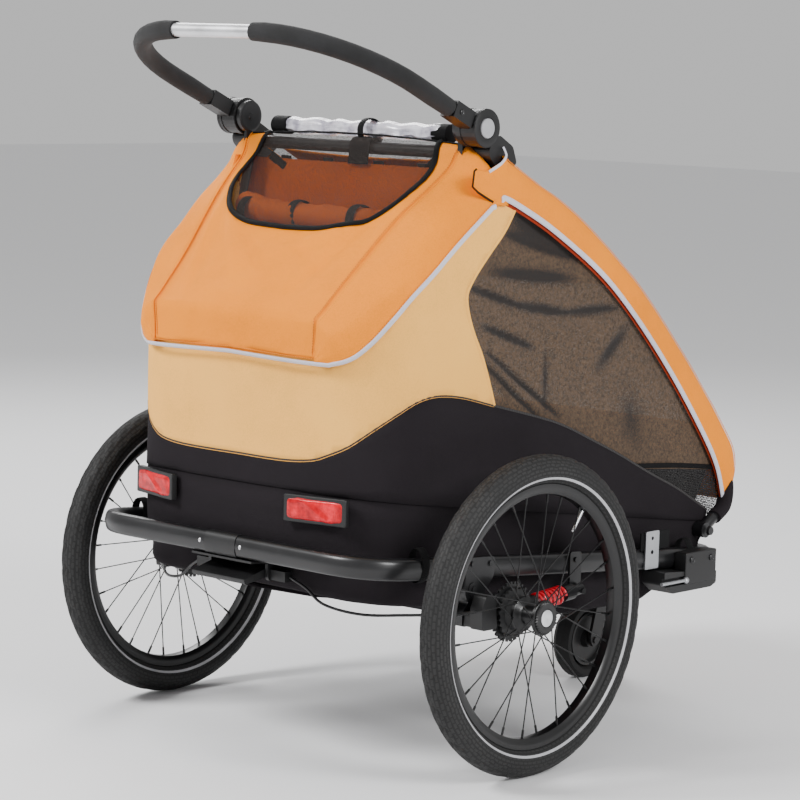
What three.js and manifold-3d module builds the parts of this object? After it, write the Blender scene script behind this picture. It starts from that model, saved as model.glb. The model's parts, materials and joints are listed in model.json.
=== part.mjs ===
// A two-seat child bicycle trailer in stroller mode: folding frame, sprung wheels, push handle.
// Millimetres, +Z up. The trailer faces -Y, its right side is -X, and it stands on z = 0.
// Every piece is laid out from the ground point midway between the two main wheels; the last
// line of code moves the whole trailer so that its origin is the centre of its footprint.

import * as THREE from "three";
import { ConvexGeometry } from "three/addons/geometries/ConvexGeometry.js";
import { mergeVertices } from "three/addons/utils/BufferGeometryUtils.js";
import Module from "manifold-3d";

// ---------- driving dimensions ----------

const RIGHT = -1;
const LEFT = 1;
const SIDES = [["right", RIGHT], ["left", LEFT]];

const GAP = 0.4; // clearance kept between touching pieces

const WHEEL = { track: 799, radius: 250, width: 47, rimRadius: 203, spokes: 28, axleZ: 250 };
const CASTER = { radius: 70, width: 34, y: -627, swivelY: -672 };

const RAIL = { tall: 34, deep: 24, halfWidth: 310, rearY: 273, frontY: -590, z: 314.8 };
const RAIL_PITCH = THREE.MathUtils.degToRad(4.75); // the chassis loop sits nose down
const RAIL_BEND = { rear: 95, front: 62 };

const PIVOT = { y: 6.8, z: 990.2, x: 261.6, radius: 30, width: 40 }; // the push handle's pivots
const HANDLE = { reach: 339.5, armX: 264, bend: 180, tube: 10.5, foam: 15, bareHalf: 81.4 };
const HANDLE_TILT = THREE.MathUtils.degToRad(23.74);

const FOLD_HINGE = { y: -565, z: 312, x: 296.5 };
const HOOP = { x: 268, radius: 10 };
const UPRIGHT = { x: 228, radius: 10, footY: 100, footZ: 475, topZ: 950, topY: 3 };

const CABIN = { halfWidth: 283.5, wall: 3, rearY: 258.5 };
const REAR_BOW = { half: 175, turn: THREE.MathUtils.degToRad(12), corner: 138 }; // the rear wall bulges
const SHELF = { rearZ: 438, rearY: 253, slope: 0.135 }; // the rigid tub's top edge

const ARM = { pivotY: 59, pivotZ: 288, inner: 303, outer: 321 };
const SPRING = { x: 334, radius: 13, rear: [-79.5, 251], front: [-147, 256.5] };
const OUTER_PLATE = { inner: 322.8, outer: 326.8 }; // brackets bolted to the rail's outer face
const BRAKE = { rotor: 48, rotorX: 352 };

// ---------- solids ----------

const wasm = await Module();
wasm.setup();

function solidOf(geometry) {
  const bare = geometry.index ? geometry.toNonIndexed() : geometry.clone();
  bare.deleteAttribute("normal");
  bare.deleteAttribute("uv");
  const merged = mergeVertices(bare, 1e-3);
  return new wasm.Manifold(
    new wasm.Mesh({
      numProp: 3,
      vertProperties: merged.attributes.position.array,
      triVerts: new Uint32Array(merged.index.array),
    }),
  );
}

function geometryOf(solid) {
  const mesh = solid.getMesh();
  const geometry = new THREE.BufferGeometry();
  geometry.setAttribute("position", new THREE.BufferAttribute(mesh.vertProperties, 3));
  geometry.setIndex(new THREE.BufferAttribute(mesh.triVerts, 1));
  geometry.computeVertexNormals();
  return geometry;
}

function join(...geometries) {
  return geometryOf(geometries.map(solidOf).reduce((all, next) => all.add(next)));
}

function cut(geometry, ...tools) {
  return geometryOf(tools.map(solidOf).reduce((rest, tool) => rest.subtract(tool), solidOf(geometry)));
}

function common(a, b) {
  return geometryOf(solidOf(a).intersect(solidOf(b)));
}

// A box given by its lowest and highest corner, in any order.
function block(a, b) {
  const size = a.map((low, i) => Math.abs(b[i] - low));
  const centre = a.map((low, i) => (low + b[i]) / 2);
  return new THREE.BoxGeometry(...size).translate(...centre);
}

// A plain closed outline, or one whose corners are rounded off by a radius.
function outline(points, radius = 0) {
  const shape = new THREE.Shape();
  const corners = points.map(([a, b]) => new THREE.Vector2(a, b));
  corners.forEach((corner, i) => {
    const before = corners[(i + corners.length - 1) % corners.length];
    const after = corners[(i + 1) % corners.length];
    const inwards = before.clone().sub(corner);
    const onwards = after.clone().sub(corner);
    const reach = Math.min(radius, inwards.length() / 2.1, onwards.length() / 2.1);
    const start = corner.clone().add(inwards.setLength(reach));
    const end = corner.clone().add(onwards.setLength(reach));
    if (i === 0) shape.moveTo(start.x, start.y);
    else shape.lineTo(start.x, start.y);
    if (reach > 0) shape.quadraticCurveTo(corner.x, corner.y, end.x, end.y);
  });
  return shape;
}

// A plate cut from a side view: points are [y, z], and it fills x from one value to the other.
function sidePlate(points, xA, xB, radius = 0) {
  const low = Math.min(xA, xB);
  const plate = new THREE.ExtrudeGeometry(outline(points, radius), {
    depth: Math.abs(xB - xA),
    bevelEnabled: false,
    curveSegments: 3,
  });
  const turn = new THREE.Matrix4().makeBasis(
    new THREE.Vector3(0, 1, 0),
    new THREE.Vector3(0, 0, 1),
    new THREE.Vector3(1, 0, 0),
  );
  return plate.applyMatrix4(turn).translate(low, 0, 0);
}

// A plan-view outline, points [x, y], raised from one height to another.
function planPrism(points, zLow, zHigh, radius = 0) {
  return new THREE.ExtrudeGeometry(outline(points, radius), {
    depth: zHigh - zLow,
    bevelEnabled: false,
    curveSegments: 6,
  }).translate(0, 0, zLow);
}

function rodX(radius, xA, xB, y, z, sides = 20) {
  const rod = new THREE.CylinderGeometry(radius, radius, Math.abs(xB - xA), sides);
  return rod.rotateZ(Math.PI / 2).translate((xA + xB) / 2, y, z);
}

function rodZ(radius, zLow, zHigh, x, y, sides = 20) {
  const rod = new THREE.CylinderGeometry(radius, radius, zHigh - zLow, sides);
  return rod.rotateX(Math.PI / 2).translate(x, y, (zLow + zHigh) / 2);
}

function rodBetween(a, b, radius, sides) {
  const from = new THREE.Vector3(...a);
  const along = new THREE.Vector3(...b).sub(from);
  const rod = new THREE.CylinderGeometry(radius, radius, along.length(), sides);
  const turn = new THREE.Quaternion().setFromUnitVectors(
    new THREE.Vector3(0, 1, 0),
    along.clone().normalize(),
  );
  return rod.applyQuaternion(turn).translate(...from.addScaledVector(along, 0.5).toArray());
}

// A ring or disc about the X axis: profile points are [x, radius].
function turnedX(profile, segments, closed = false) {
  const points = profile.map(([x, r]) => new THREE.Vector2(r, x));
  if (THREE.ShapeUtils.area(points) < 0) points.reverse();
  if (closed) points.push(points[0].clone());
  const lathe = new THREE.LatheGeometry(points, segments);
  return lathe.rotateZ(-Math.PI / 2);
}

function ringSection(radius, sides, flatten = 1) {
  const points = [];
  for (let i = 0; i < sides; i++) {
    const angle = (2 * Math.PI * (i + 0.5)) / sides;
    points.push(new THREE.Vector2(radius * Math.cos(angle), flatten * radius * Math.sin(angle)));
  }
  return points;
}

// A path of straight lines with its corners rounded to the given radii.
function bentPath(points, bends) {
  const path = new THREE.CurvePath();
  const corners = points.map((p) => new THREE.Vector3(...p));
  let last = corners[0];
  for (let i = 1; i < corners.length - 1; i++) {
    const towards = corners[i - 1].clone().sub(corners[i]).normalize();
    const onwards = corners[i + 1].clone().sub(corners[i]).normalize();
    const start = corners[i].clone().addScaledVector(towards, bends[i - 1]);
    const end = corners[i].clone().addScaledVector(onwards, bends[i - 1]);
    path.add(new THREE.LineCurve3(last, start));
    path.add(new THREE.QuadraticBezierCurve3(start, corners[i], end));
    last = end;
  }
  path.add(new THREE.LineCurve3(last, corners.at(-1)));
  return path;
}

function smoothPath(points) {
  return new THREE.CatmullRomCurve3(points.map((p) => new THREE.Vector3(...p)), false, "centripetal");
}

function sweep(section, path, steps, hole = null) {
  const shape = new THREE.Shape(section);
  if (hole) shape.holes.push(new THREE.Path(hole));
  return new THREE.ExtrudeGeometry(shape, { steps, bevelEnabled: false, extrudePath: path });
}

function tube(path, radius, steps, sides = 10) {
  return sweep(ringSection(radius, sides), path, steps);
}

// ---------- the trailer as a list of named meshes ----------

const trailer = new THREE.Group();

const LOOK = {
  blackTube: { color: 0x222427, roughness: 0.42, metalness: 0.4 },
  steel: { color: 0x8d949c, roughness: 0.4, metalness: 0.9 },
  silver: { color: 0xc9c9cd, roughness: 0.3, metalness: 0.9 },
  blackPlastic: { color: 0x1d1e20, roughness: 0.55, metalness: 0 },
  greyPlastic: { color: 0xa9a9ac, roughness: 0.5, metalness: 0 },
  rubber: { color: 0x232326, roughness: 0.85, metalness: 0 },
  foam: { color: 0x18181a, roughness: 0.95, metalness: 0 },
  redSteel: { color: 0xc8102e, roughness: 0.35, metalness: 0.3 },
  redLens: { color: 0xc02226, roughness: 0.25, metalness: 0 },
  orange: { color: 0xf6a235, roughness: 0.8, metalness: 0 },
  peach: { color: 0xf2c180, roughness: 0.8, metalness: 0 },
  blackCloth: { color: 0x28242a, roughness: 0.9, metalness: 0 },
  mesh: { color: 0x5c4a3a, roughness: 0.9, metalness: 0 },
  clear: { color: 0xb9b6c2, roughness: 0.2, metalness: 0 },
};

function add(name, geometry, look, turn = null) {
  const mesh = new THREE.Mesh(geometry, new THREE.MeshStandardMaterial(LOOK[look]));
  mesh.name = name;
  if (turn) {
    mesh.rotation.x = turn.angle;
    mesh.position.set(0, turn.y, turn.z);
  }
  trailer.add(mesh);
}

// The height of the chassis loop's centre line at a distance behind the axle.
function railHeight(y) {
  return RAIL.z + y * Math.tan(RAIL_PITCH);
}

function shelfHeight(y) {
  return SHELF.rearZ + (y - SHELF.rearY) * SHELF.slope;
}

// ---------- chassis ----------

const SLEEVE_HALF = 33.7;

// The loop's flat-oval tube: its first axis ends up vertical, its second horizontal.
function railSection() {
  const sides = 12;
  const points = [];
  for (let i = 0; i < sides; i++) {
    const angle = (2 * Math.PI * (i + 0.5)) / sides;
    const squarer = (v) => Math.sign(v) * Math.abs(v) ** 0.7;
    points.push(
      new THREE.Vector2(
        (RAIL.tall / 2) * squarer(Math.cos(angle)),
        (RAIL.deep / 2) * squarer(Math.sin(angle)),
      ),
    );
  }
  return points;
}

function chassisLoop() {
  const pitched = { angle: RAIL_PITCH, y: 0, z: RAIL.z };
  for (const [name, side] of SIDES) {
    const path = bentPath(
      [
        [side * (SLEEVE_HALF + GAP), RAIL.rearY, 0],
        [side * RAIL.halfWidth, RAIL.rearY, 0],
        [side * RAIL.halfWidth, RAIL.frontY, 0],
        [side * GAP, RAIL.frontY, 0],
      ],
      [RAIL_BEND.rear, RAIL_BEND.front],
    );
    const rail = sweep(railSection(), path, 36);
    rail.applyMatrix4(new THREE.Matrix4().makeRotationX(RAIL_PITCH)).translate(0, 0, RAIL.z);
    add(`frame_loop_${name}`, join(rail, ...foldHingeLug(side)), "blackTube");
  }
  const sleevePath = new THREE.LineCurve3(
    new THREE.Vector3(-SLEEVE_HALF, RAIL.rearY, 0),
    new THREE.Vector3(SLEEVE_HALF, RAIL.rearY, 0),
  );
  add("bumper_sleeve", sweep(railSection(), sleevePath, 1), "blackTube", pitched);
}

// The ear and pin on the loop that the front hoop turns on.
function foldHingeLug(side) {
  const { y, z, x } = FOLD_HINGE;
  const ear = sidePlate([[y - 16, z - 40], [y + 16, z - 40], [y + 14, z + 12], [y - 14, z + 12]],
    side * 308.5, side * 313, 9);
  const pin = rodX(4, side * (x - 10), side * 310, y, z, 10);
  return [ear, pin];
}

// The rear bracket hangs on the rail's outer face and holds the bolt that the swing arm turns on.
function armBracket(side) {
  const { pivotY: y, pivotZ: z } = ARM;
  const { inner, outer } = OUTER_PLATE;
  const plate = sidePlate([[8, 334], [76, 338], [78, 282], [68, 266], [46, 266], [10, 304]],
    side * inner, side * outer, 8);
  const bolt = rodX(5, side * 301.5, side * (outer + 3.4), y, z, 14);
  const ring = rodX(11, side * outer, side * (outer + 1.6), y, z, 20);
  const screws = [[20, 324], [62, 327]].map(([sy, sz]) => rodX(4.5, side * outer, side * (outer + 2.4), sy, sz, 8));
  return join(plate, bolt, ring, ...screws);
}

// The front strap hangs on the rail's outer face and carries the cap that the spring pushes on.
function springHanger(side) {
  const { inner, outer } = OUTER_PLATE;
  const strap = sidePlate([[-204, 318], [-176, 320], [-176, 254], [-184, 245], [-196, 245], [-204, 254]],
    side * inner, side * outer, 5);
  const eye = rodBetween([side * SPRING.x, -196, 260], [side * SPRING.x, -170, 258], 9, 14);
  const cap = rodBetween([side * SPRING.x, -172, 258.4], [side * SPRING.x, -149, 256.6], 13, 20);
  const bolt = rodX(5, side * outer, side * (SPRING.x + 12), -190, 258, 10);
  const screw = rodX(4.5, side * outer, side * (outer + 2.4), -190, 306, 8);
  return join(strap, eye, cap, bolt, screw);
}

// The arm turns on the rear bracket's bolt, carries the stub axle, and presses the spring forwards.
function swingArm(side) {
  const arm = sidePlate(
    [[-76, 240], [-76, 264], [-24, 268], [20, 272], [44, 297], [60, 300], [72, 294], [72, 280],
      [62, 266], [76, 252], [76, 230], [34, 228], [0, 228], [-26, 234]],
    side * ARM.inner, side * ARM.outer, 5,
  );
  const pivotHole = rodX(5.6, side * 290, side * 330, ARM.pivotY, ARM.pivotZ, 14);
  const springSeat = rodBetween([side * SPRING.x, -64, 249.8], [side * SPRING.x, -77.5, 250.8], 13, 20);
  const seatWeb = block([side * (ARM.outer - 3), -76, 240], [side * SPRING.x, -64, 262]);
  const stubAxle = rodX(9, side * 318, side * (BRAKE.rotorX - 8), 0, WHEEL.axleZ, 16);
  return join(cut(arm, pivotHole), springSeat, seatWeb, stubAxle);
}

function springCoil(side) {
  const [rearY, rearZ] = SPRING.rear;
  const [frontY, frontZ] = SPRING.front;
  return rodBetween([side * SPRING.x, rearY, rearZ], [side * SPRING.x, frontY, frontZ], SPRING.radius, 12);
}

// The parking brake's lock straddles the toothed disc behind the axle and rides on the swing arm.
function brakeLock(side) {
  const body = sidePlate([[42, 230], [78, 230], [80, 262], [70, 284], [50, 280]],
    side * 340, side * 364, 5);
  const discSlot = rodX(BRAKE.rotor + 2, side * (BRAKE.rotorX - 2), side * (BRAKE.rotorX + 5), 0,
    WHEEL.axleZ, 24);
  const stay = sidePlate([[38, 231], [74, 231], [72, 253], [40, 253]],
    side * (ARM.outer + GAP), side * 341, 4);
  return cut(join(body, stay), discSlot);
}

function suspension() {
  for (const [name, side] of SIDES) {
    add(`arm_bracket_${name}`, armBracket(side), "blackTube");
    add(`spring_hanger_${name}`, springHanger(side), "blackTube");
    add(`swing_arm_${name}`, swingArm(side), "blackTube");
    add(`suspension_spring_${name}`, springCoil(side), "redSteel");
    add(`brake_lock_${name}`, brakeLock(side), "blackPlastic");
  }
}

// ---------- wheels ----------

function tyre(radius, tread, width, sides, segments) {
  const middle = radius - tread / 2;
  const flatRadius = 1 / Math.cos(Math.PI / segments);
  const profile = ringSection(1, sides).map((p) => [
    (p.y * width) / 2 / Math.cos(Math.PI / sides),
    (middle + ((p.x * tread) / 2) / Math.cos(Math.PI / sides)) * flatRadius,
  ]);
  return turnedX(profile, segments, true).rotateX(Math.PI / segments);
}

function spokes() {
  const perFlange = WHEEL.spokes / 2;
  const rods = [];
  for (let i = 0; i < WHEEL.spokes; i++) {
    const flange = i % 2 === 0 ? -1 : 1;
    const along = Math.floor(i / 2);
    const leading = along % 2 === 0 ? 1 : -1;
    const rimAngle = (2 * Math.PI * (i + 0.5)) / WHEEL.spokes;
    const hubAngle = rimAngle + leading * ((2 * Math.PI) / perFlange) * 1.9;
    const hubX = flange * 20 + leading * 1.5;
    rods.push(
      rodBetween(
        [hubX, 23 * Math.cos(hubAngle), 23 * Math.sin(hubAngle)],
        [flange * 3, 188.3 * Math.cos(rimAngle), 188.3 * Math.sin(rimAngle)],
        1.1, 4,
      ),
    );
  }
  return rods;
}

// The hub, laid out from the wheel's middle plane with the outer end at +x.
function hub() {
  const inner = BRAKE.rotorX - WHEEL.track / 2;
  const profile = [
    [inner - 4, 0], [inner - 4, 20], [inner, 20], [inner, BRAKE.rotor], [inner + 3, BRAKE.rotor],
    [inner + 3, 20], [-23, 20], [-23, 26], [-17, 26], [-14, 16], [14, 16], [17, 26], [23, 26],
    [23, 24.5], [26.5, 24.5], [27.5, 15], [17.2, 15], [17.2, 0],
  ];
  return turnedX(profile, 18);
}

function mainWheels() {
  for (const [name, side] of SIDES) {
    const place = (geometry) => {
      const turned = side === RIGHT ? geometry.rotateZ(Math.PI) : geometry;
      return turned.translate((side * WHEEL.track) / 2, 0, WHEEL.axleZ);
    };
    add(`tyre_${name}`, place(tyre(WHEEL.radius, WHEEL.width, WHEEL.width, 8, 36)), "rubber");
    const rim = [[-8, 190], [8, 190], [12.5, 196], [12.5, 202.4], [-12.5, 202.4], [-12.5, 196]];
    add(`rim_${name}`, place(turnedX(rim, 36, true)), "blackTube");
    add(`hub_and_spokes_${name}`, place(join(hub(), ...spokes())), "blackTube");
    add(`hub_release_button_${name}`, place(turnedX([[28.3, 0], [28.3, 13], [27.5, 14], [21, 14],
      [21, 0]], 24)), "silver");
  }
}

// ---------- front caster ----------

function caster() {
  const { radius, width, y, swivelY } = CASTER;
  const place = (geometry) => geometry.translate(0, y, radius);
  add("caster_tyre", place(tyre(radius, 22, width, 8, 36)), "rubber");
  const disc = [[-17, 6.5], [17, 6.5], [17, 14], [6, 16], [6, 40], [13, 43], [13, 47.6], [-13, 47.6],
    [-13, 43], [-6, 40], [-6, 16], [-17, 14]];
  add("caster_wheel", place(turnedX(disc, 24, true)), "blackPlastic");
  const blade = (side) => sidePlate(
    [[y - 14, radius - 4], [y + 4, radius - 14], [y + 14, radius + 2], [y - 2, 130], [y - 16, 166],
      [y - 64, 168], [y - 60, 150], [y - 34, 138]],
    side * 21, side * 27, 7,
  );
  const crown = sidePlate([[y - 62, 151], [y - 18, 151], [y - 18, 166], [y - 62, 168]], -27, 27, 4);
  const axle = rodX(6, -30, 30, y, radius, 12);
  const stem = rodZ(9, 160, 206, 0, swivelY, 16);
  add("caster_fork", join(blade(RIGHT), blade(LEFT), crown, axle, stem), "blackPlastic");
  const head = rodZ(19, 171, 216, 0, swivelY, 20);
  const bore = rodZ(9.5, 160, 207, 0, swivelY, 16);
  const beam = sidePlate([[-690, 200], [-655, 178], [-560, 212], [-560, 238], [-640, 236], [-690, 216]],
    -16, 16, 6);
  const clamp = sidePlate([[-608, 219], [-563, 223], [-563, 245], [-608, 241]], -34, 34, 3);
  add("caster_mount", cut(join(head, beam, clamp), bore), "blackPlastic");
}

// ---------- folding cabin frame ----------

// The front hoop's side view, from the handle housing over the roof line and down to its hinge.
const HOOP_SIDE = [[-34, 922], [-75, 901], [-179, 858], [-273, 798], [-398, 701], [-539, 564],
  [-630, 458], [-654, 412]];
const HOOP_FOOT = [[281, -651, 378], [293, -629, 347], [296.5, -590, 327]];
const NOSE_TUBE = { y: -653, z: 412 };

function frontHoop() {
  const sideTubes = SIDES.map(([, side]) => {
    const route = [
      ...HOOP_SIDE.map(([y, z]) => [side * HOOP.x, y, z]),
      ...HOOP_FOOT.map(([x, y, z]) => [side * x, y, z]),
      [side * FOLD_HINGE.x, FOLD_HINGE.y - 6, FOLD_HINGE.z + 3],
    ];
    return tube(smoothPath(route), HOOP.radius, 26, 8);
  });
  const eyes = SIDES.map(([, side]) =>
    rodX(13, side * (FOLD_HINGE.x - 9.5), side * (FOLD_HINGE.x + 9.5), FOLD_HINGE.y, FOLD_HINGE.z, 16));
  const bores = SIDES.map(([, side]) =>
    rodX(4.5, side * (FOLD_HINGE.x - 30), side * (FOLD_HINGE.x + 12), FOLD_HINGE.y, FOLD_HINGE.z, 10));
  const nose = rodX(9, -HOOP.x, HOOP.x, NOSE_TUBE.y, NOSE_TUBE.z, 10);
  add("front_hoop", cut(join(...sideTubes, ...eyes, nose), ...bores), "blackTube");
}

// The lower half of each handle pivot: two cheeks and the neck that grips the hoop's top end.
function pivotHousing(side) {
  const { y, z, x, radius, width } = PIVOT;
  const outer = side * (x + width / 2);
  const inner = side * (x - width / 2);
  const outerCheek = rodX(radius, outer, side * (x + 10), y, z, 28);
  const innerCheek = rodX(radius, inner, side * (x - 10), y, z, 28);
  const neck = sidePlate(
    [[y - 30, z - 10], [y - 6, z - 32], [y - 8, z - 44], [-14, 934], [-34, 918], [-66, 936],
      [-56, 962]],
    inner, outer, 5,
  );
  const knuckleRoom = rodX(radius + 1, side * (x - 10), side * (x + 10), y, z, 28);
  const hoopRoom = rodBetween([side * HOOP.x, -28, 925], [side * HOOP.x, -90, 894], HOOP.radius + 0.6, 12);
  const buttonRoom = rodX(16, side * (x + 13), side * (x + 30), y, z, 24);
  return cut(join(outerCheek, innerCheek, cut(neck, knuckleRoom)), hoopRoom, buttonRoom);
}

function handlePivots() {
  for (const [name, side] of SIDES) {
    add(`handle_pivot_housing_${name}`, pivotHousing(side), "blackPlastic");
    const face = PIVOT.x + PIVOT.width / 2;
    add(`handle_pivot_button_${name}`,
      rodX(15.3, side * (face - 2.5), side * (face + 3), PIVOT.y, PIVOT.z, 24), "greyPlastic");
  }
}

function rearUprights() {
  const { x, radius, footY, footZ, topZ, topY } = UPRIGHT;
  const path = bentPath(
    [[-x, footY, footZ], [-x, topY, topZ], [x, topY, topZ], [x, footY, footZ]],
    [34, 34],
  );
  const frame = tube(path, radius, 32, 8);
  const lug = (side) => sidePlate(
    [[PIVOT.y - 15, PIVOT.z + 6], [PIVOT.y + 15, PIVOT.z + 6], [PIVOT.y + 14, 925], [topY - 6, 918],
      [topY - 12, 940]],
    side * 229, side * 238.5, 8,
  );
  add("rear_uprights", join(frame, lug(RIGHT), lug(LEFT)), "blackTube");
  for (const [name, side] of SIDES) {
    const post = sidePlate([[84, 372], [116, 372], [116, 484], [84, 484]], side * 241.5, side * 280, 5);
    add(`upright_catch_${name}`, post, "blackPlastic");
  }
}

// ---------- push handle ----------

// Laid out flat, with u running from the pivots to the grip bar, then tilted up about the pivots.
const handlePlace = { angle: HANDLE_TILT, y: PIVOT.y, z: PIVOT.z };

function handlePath(fromLength, toLength) {
  const half = HANDLE.armX;
  const straight = HANDLE.reach - HANDLE.bend;
  const barEnd = half - HANDLE.bend;
  const path = new THREE.CurvePath();
  const v = (x, u) => new THREE.Vector3(x, u, 0);
  const arm = new THREE.LineCurve3(v(-half, fromLength), v(-half, straight));
  const k = HANDLE.bend * 0.5523; // the handle length of a cubic that follows a quarter circle
  const bend = new THREE.CubicBezierCurve3(
    v(-half, straight), v(-half, straight + k), v(-barEnd - k, HANDLE.reach), v(-barEnd, HANDLE.reach));
  path.add(arm);
  path.add(bend);
  if (toLength === "mirror") {
    path.add(new THREE.LineCurve3(v(-barEnd, HANDLE.reach), v(barEnd, HANDLE.reach)));
    path.add(new THREE.CubicBezierCurve3(
      v(barEnd, HANDLE.reach), v(barEnd + k, HANDLE.reach), v(half, straight + k), v(half, straight)));
    path.add(new THREE.LineCurve3(v(half, straight), v(half, fromLength)));
  }
  return path;
}

function pushHandle() {
  add("handlebar_tube", tube(handlePath(48, "mirror"), HANDLE.tube, 36), "silver", handlePlace);
  for (const [name, side] of SIDES) {
    const foam = sweep(ringSection(HANDLE.foam, 10), handlePath(76, "bend"), 14,
      ringSection(HANDLE.tube + 0.5, 10));
    if (side === LEFT) foam.rotateY(Math.PI);
    add(`grip_foam_${name}`, foam, "foam", handlePlace);
    add(`handle_knuckle_${name}`, handleKnuckle(side), "blackPlastic", handlePlace);
  }
}

// The handle's half of each pivot, a disc between the cheeks with a socket for the bent tube.
function handleKnuckle(side) {
  const disc = rodX(PIVOT.radius - 1, side * (PIVOT.x - 9.5), side * (PIVOT.x + 9.5), 0, 0, 28);
  const bar = block([side * (HANDLE.armX - 14), 31, -13], [side * (HANDLE.armX + 14), 75, 13]);
  const neck = block([side * (PIVOT.x - 9.5), 0, -13], [side * (PIVOT.x + 9.5), 40, 13]);
  const tubeRoom = block([side * (HANDLE.armX - 11), 47, -11], [side * (HANDLE.armX + 11), 80, 11]);
  return cut(join(disc, bar, neck), tubeRoom);
}

// ---------- tub, seat and cabin cloth ----------

// The black tub's side view: footwell in front, a raised luggage floor behind.
function tubProfile(inset) {
  const rise = inset;
  const openTop = inset ? 60 : 0;
  return [
    [CABIN.rearY - inset, shelfHeight(CABIN.rearY) + openTop],
    [CABIN.rearY - inset, 346 + rise],
    [209 - inset, 330 + rise],
    [204 - inset, 267 + rise],
    [90, 258 + rise],
    [0, 238 + rise],
    [-80, 206 + rise],
    [-420, 200 + rise],
    [-556 + inset, 248 + rise / 2],
    [-566 + inset, 290],
    [-598 + inset, shelfHeight(-598) + openTop],
  ];
}

// How far the bulging rear wall lies forward of its middle, at a distance from the middle.
function rearFall(x) {
  return (Math.tan(REAR_BOW.turn) / 4) * REAR_BOW.half * Math.pow(x / REAR_BOW.half, 4);
}

// The cabin seen from above: straight sides, round rear corners and a gently bowed rear wall.
function tubPlan(inset) {
  const { half, turn, corner } = REAR_BOW;
  const rearY = CABIN.rearY - inset;
  const centreX = CABIN.halfWidth - corner;
  const centreY = rearY - rearFall(half) - (corner - inset) * Math.cos(turn);
  const quarter = [];
  for (const part of [0, 0.25, 0.5, 0.75, 1]) {
    const angle = part * (Math.PI / 2 - turn);
    quarter.push([centreX + (corner - inset) * Math.cos(angle), centreY + (corner - inset) * Math.sin(angle)]);
  }
  for (const x of [130, 80]) {
    quarter.push([x, rearY - rearFall(x)]);
  }
  const mirrored = quarter.toReversed().map(([x, y]) => [-x, y]);
  const side = CABIN.halfWidth - inset;
  return [[-side, -700], [side, -700], ...quarter, [0, rearY], ...mirrored];
}

// A lens lies flat on the wall where the wall has turned by its full angle.
function reflector(side) {
  const { half, turn } = REAR_BOW;
  const wallY = CABIN.rearY - rearFall(half);
  const corner = (along, out) => [
    side * (half + along * Math.cos(turn) + out * Math.sin(turn)),
    wallY - along * Math.sin(turn) + out * Math.cos(turn),
  ];
  const outline = [corner(-55, GAP), corner(55, GAP), corner(55, 14), corner(-55, 14)];
  return planPrism(side > 0 ? outline : outline.toReversed(), 389.5, 431.5);
}

function tub() {
  const shell = (inset) => common(
    sidePlate(tubProfile(inset), -CABIN.halfWidth + inset, CABIN.halfWidth - inset),
    planPrism(tubPlan(inset), 150, 520),
  );
  add("tub_shell", cut(shell(0), shell(CABIN.wall)), "blackCloth");
  for (const [name, side] of SIDES) {
    add(`reflector_${name}`, reflector(side), "redLens");
  }
}

const SEAT = { half: 210, frontY: -280, rearY: -25, topZ: 395, tubeZ: 327 };

function seat() {
  const rail = (y) => rodX(10, -279.8, 279.8, y, SEAT.tubeZ, 12);
  const link = (side) => block([side * 180, -262, SEAT.tubeZ - 8], [side * 196, 32, SEAT.tubeZ + 8]);
  add("seat_frame", join(rail(-262), rail(32), link(RIGHT), link(LEFT)), "blackTube");
  const cushionLow = SEAT.tubeZ + 10.6;
  add("seat_cushion", sidePlate([[SEAT.frontY, cushionLow], [SEAT.rearY, cushionLow],
    [SEAT.rearY, SEAT.topZ], [SEAT.frontY, SEAT.topZ]], -SEAT.half, SEAT.half, 16), "blackCloth");
  add("seat_back", sidePlate([[-22, 400], [2, 400], [50, 800], [28, 802]], -SEAT.half, SEAT.half, 6),
    "blackCloth");
}

// Side views of the cloth, each running from the top rear to the front.
const ROOF_LINE = [[-53, 938], [-127, 900], [-186, 872], [-282, 811], [-409, 713], [-550, 575],
  [-649, 465], [-670, 425], [-672, 402]];
const PIPING_LINE = [[-68, 869], [-154, 829], [-274, 759], [-368, 684], [-467, 588], [-556, 488],
  [-606, 421], [-622, 402]];
const WINDOW_REAR = [[-62, 864], [-37, 832], [35, 757], [46, 730], [32, 683], [3, 632], [-25, 562]];
const WINDOW_FOOT = [[-130, 536], [-205, 514], [-339, 460], [-414, 426], [-505, 387], [-560, 356]];
const NOSE_REACH = 708;

function hood() {
  const half = CABIN.halfWidth + 5;
  const inner = half - 3;
  const band = [...ROOF_LINE, ...PIPING_LINE.toReversed(), [-45, 905]];
  const bands = SIDES.map(([, side]) => sidePlate(band, side * inner, side * half));
  const roofTop = ROOF_LINE.slice(0, 4);
  const roof = sidePlate(
    [...roofTop, ...roofTop.toReversed().map(([y, z]) => [y + 1.6, z - 3])],
    -half, half,
  );
  const lip = sidePlate([[-649, 465], [-670, 425], [-NOSE_REACH + 36, 402], [-668.5, 402], [-666.5, 425],
    [-646, 464]], -half, half);
  const neckRooms = SIDES.map(([, side]) => block([side * 213, -128, 850], [side * 285, -40, 980]));
  add("hood", cut(join(...bands, roof, lip), ...neckRooms), "orange");
}

function sideCloth() {
  const outer = CABIN.halfWidth + 0.2;
  const inner = CABIN.halfWidth - 2;
  for (const [name, side] of SIDES) {
    const panel = [
      [112, shelfHeight(112) + 2], [112, 762], [12, 850], [-44, 905], [-64, 872],
      ...WINDOW_REAR.slice(1), ...WINDOW_FOOT, [-574, 346], [-570, shelfHeight(-570) + 2],
    ];
    add(`side_panel_${name}`, sidePlate(panel, side * inner, side * outer), "peach");
    const window = [...WINDOW_REAR, ...WINDOW_FOOT, [-600, 392], ...PIPING_LINE.slice(0, 7).toReversed()];
    add(`side_window_${name}`, sidePlate(window, side * (inner - GAP - 2.4), side * (inner - GAP)), "mesh");
  }
}

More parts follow.
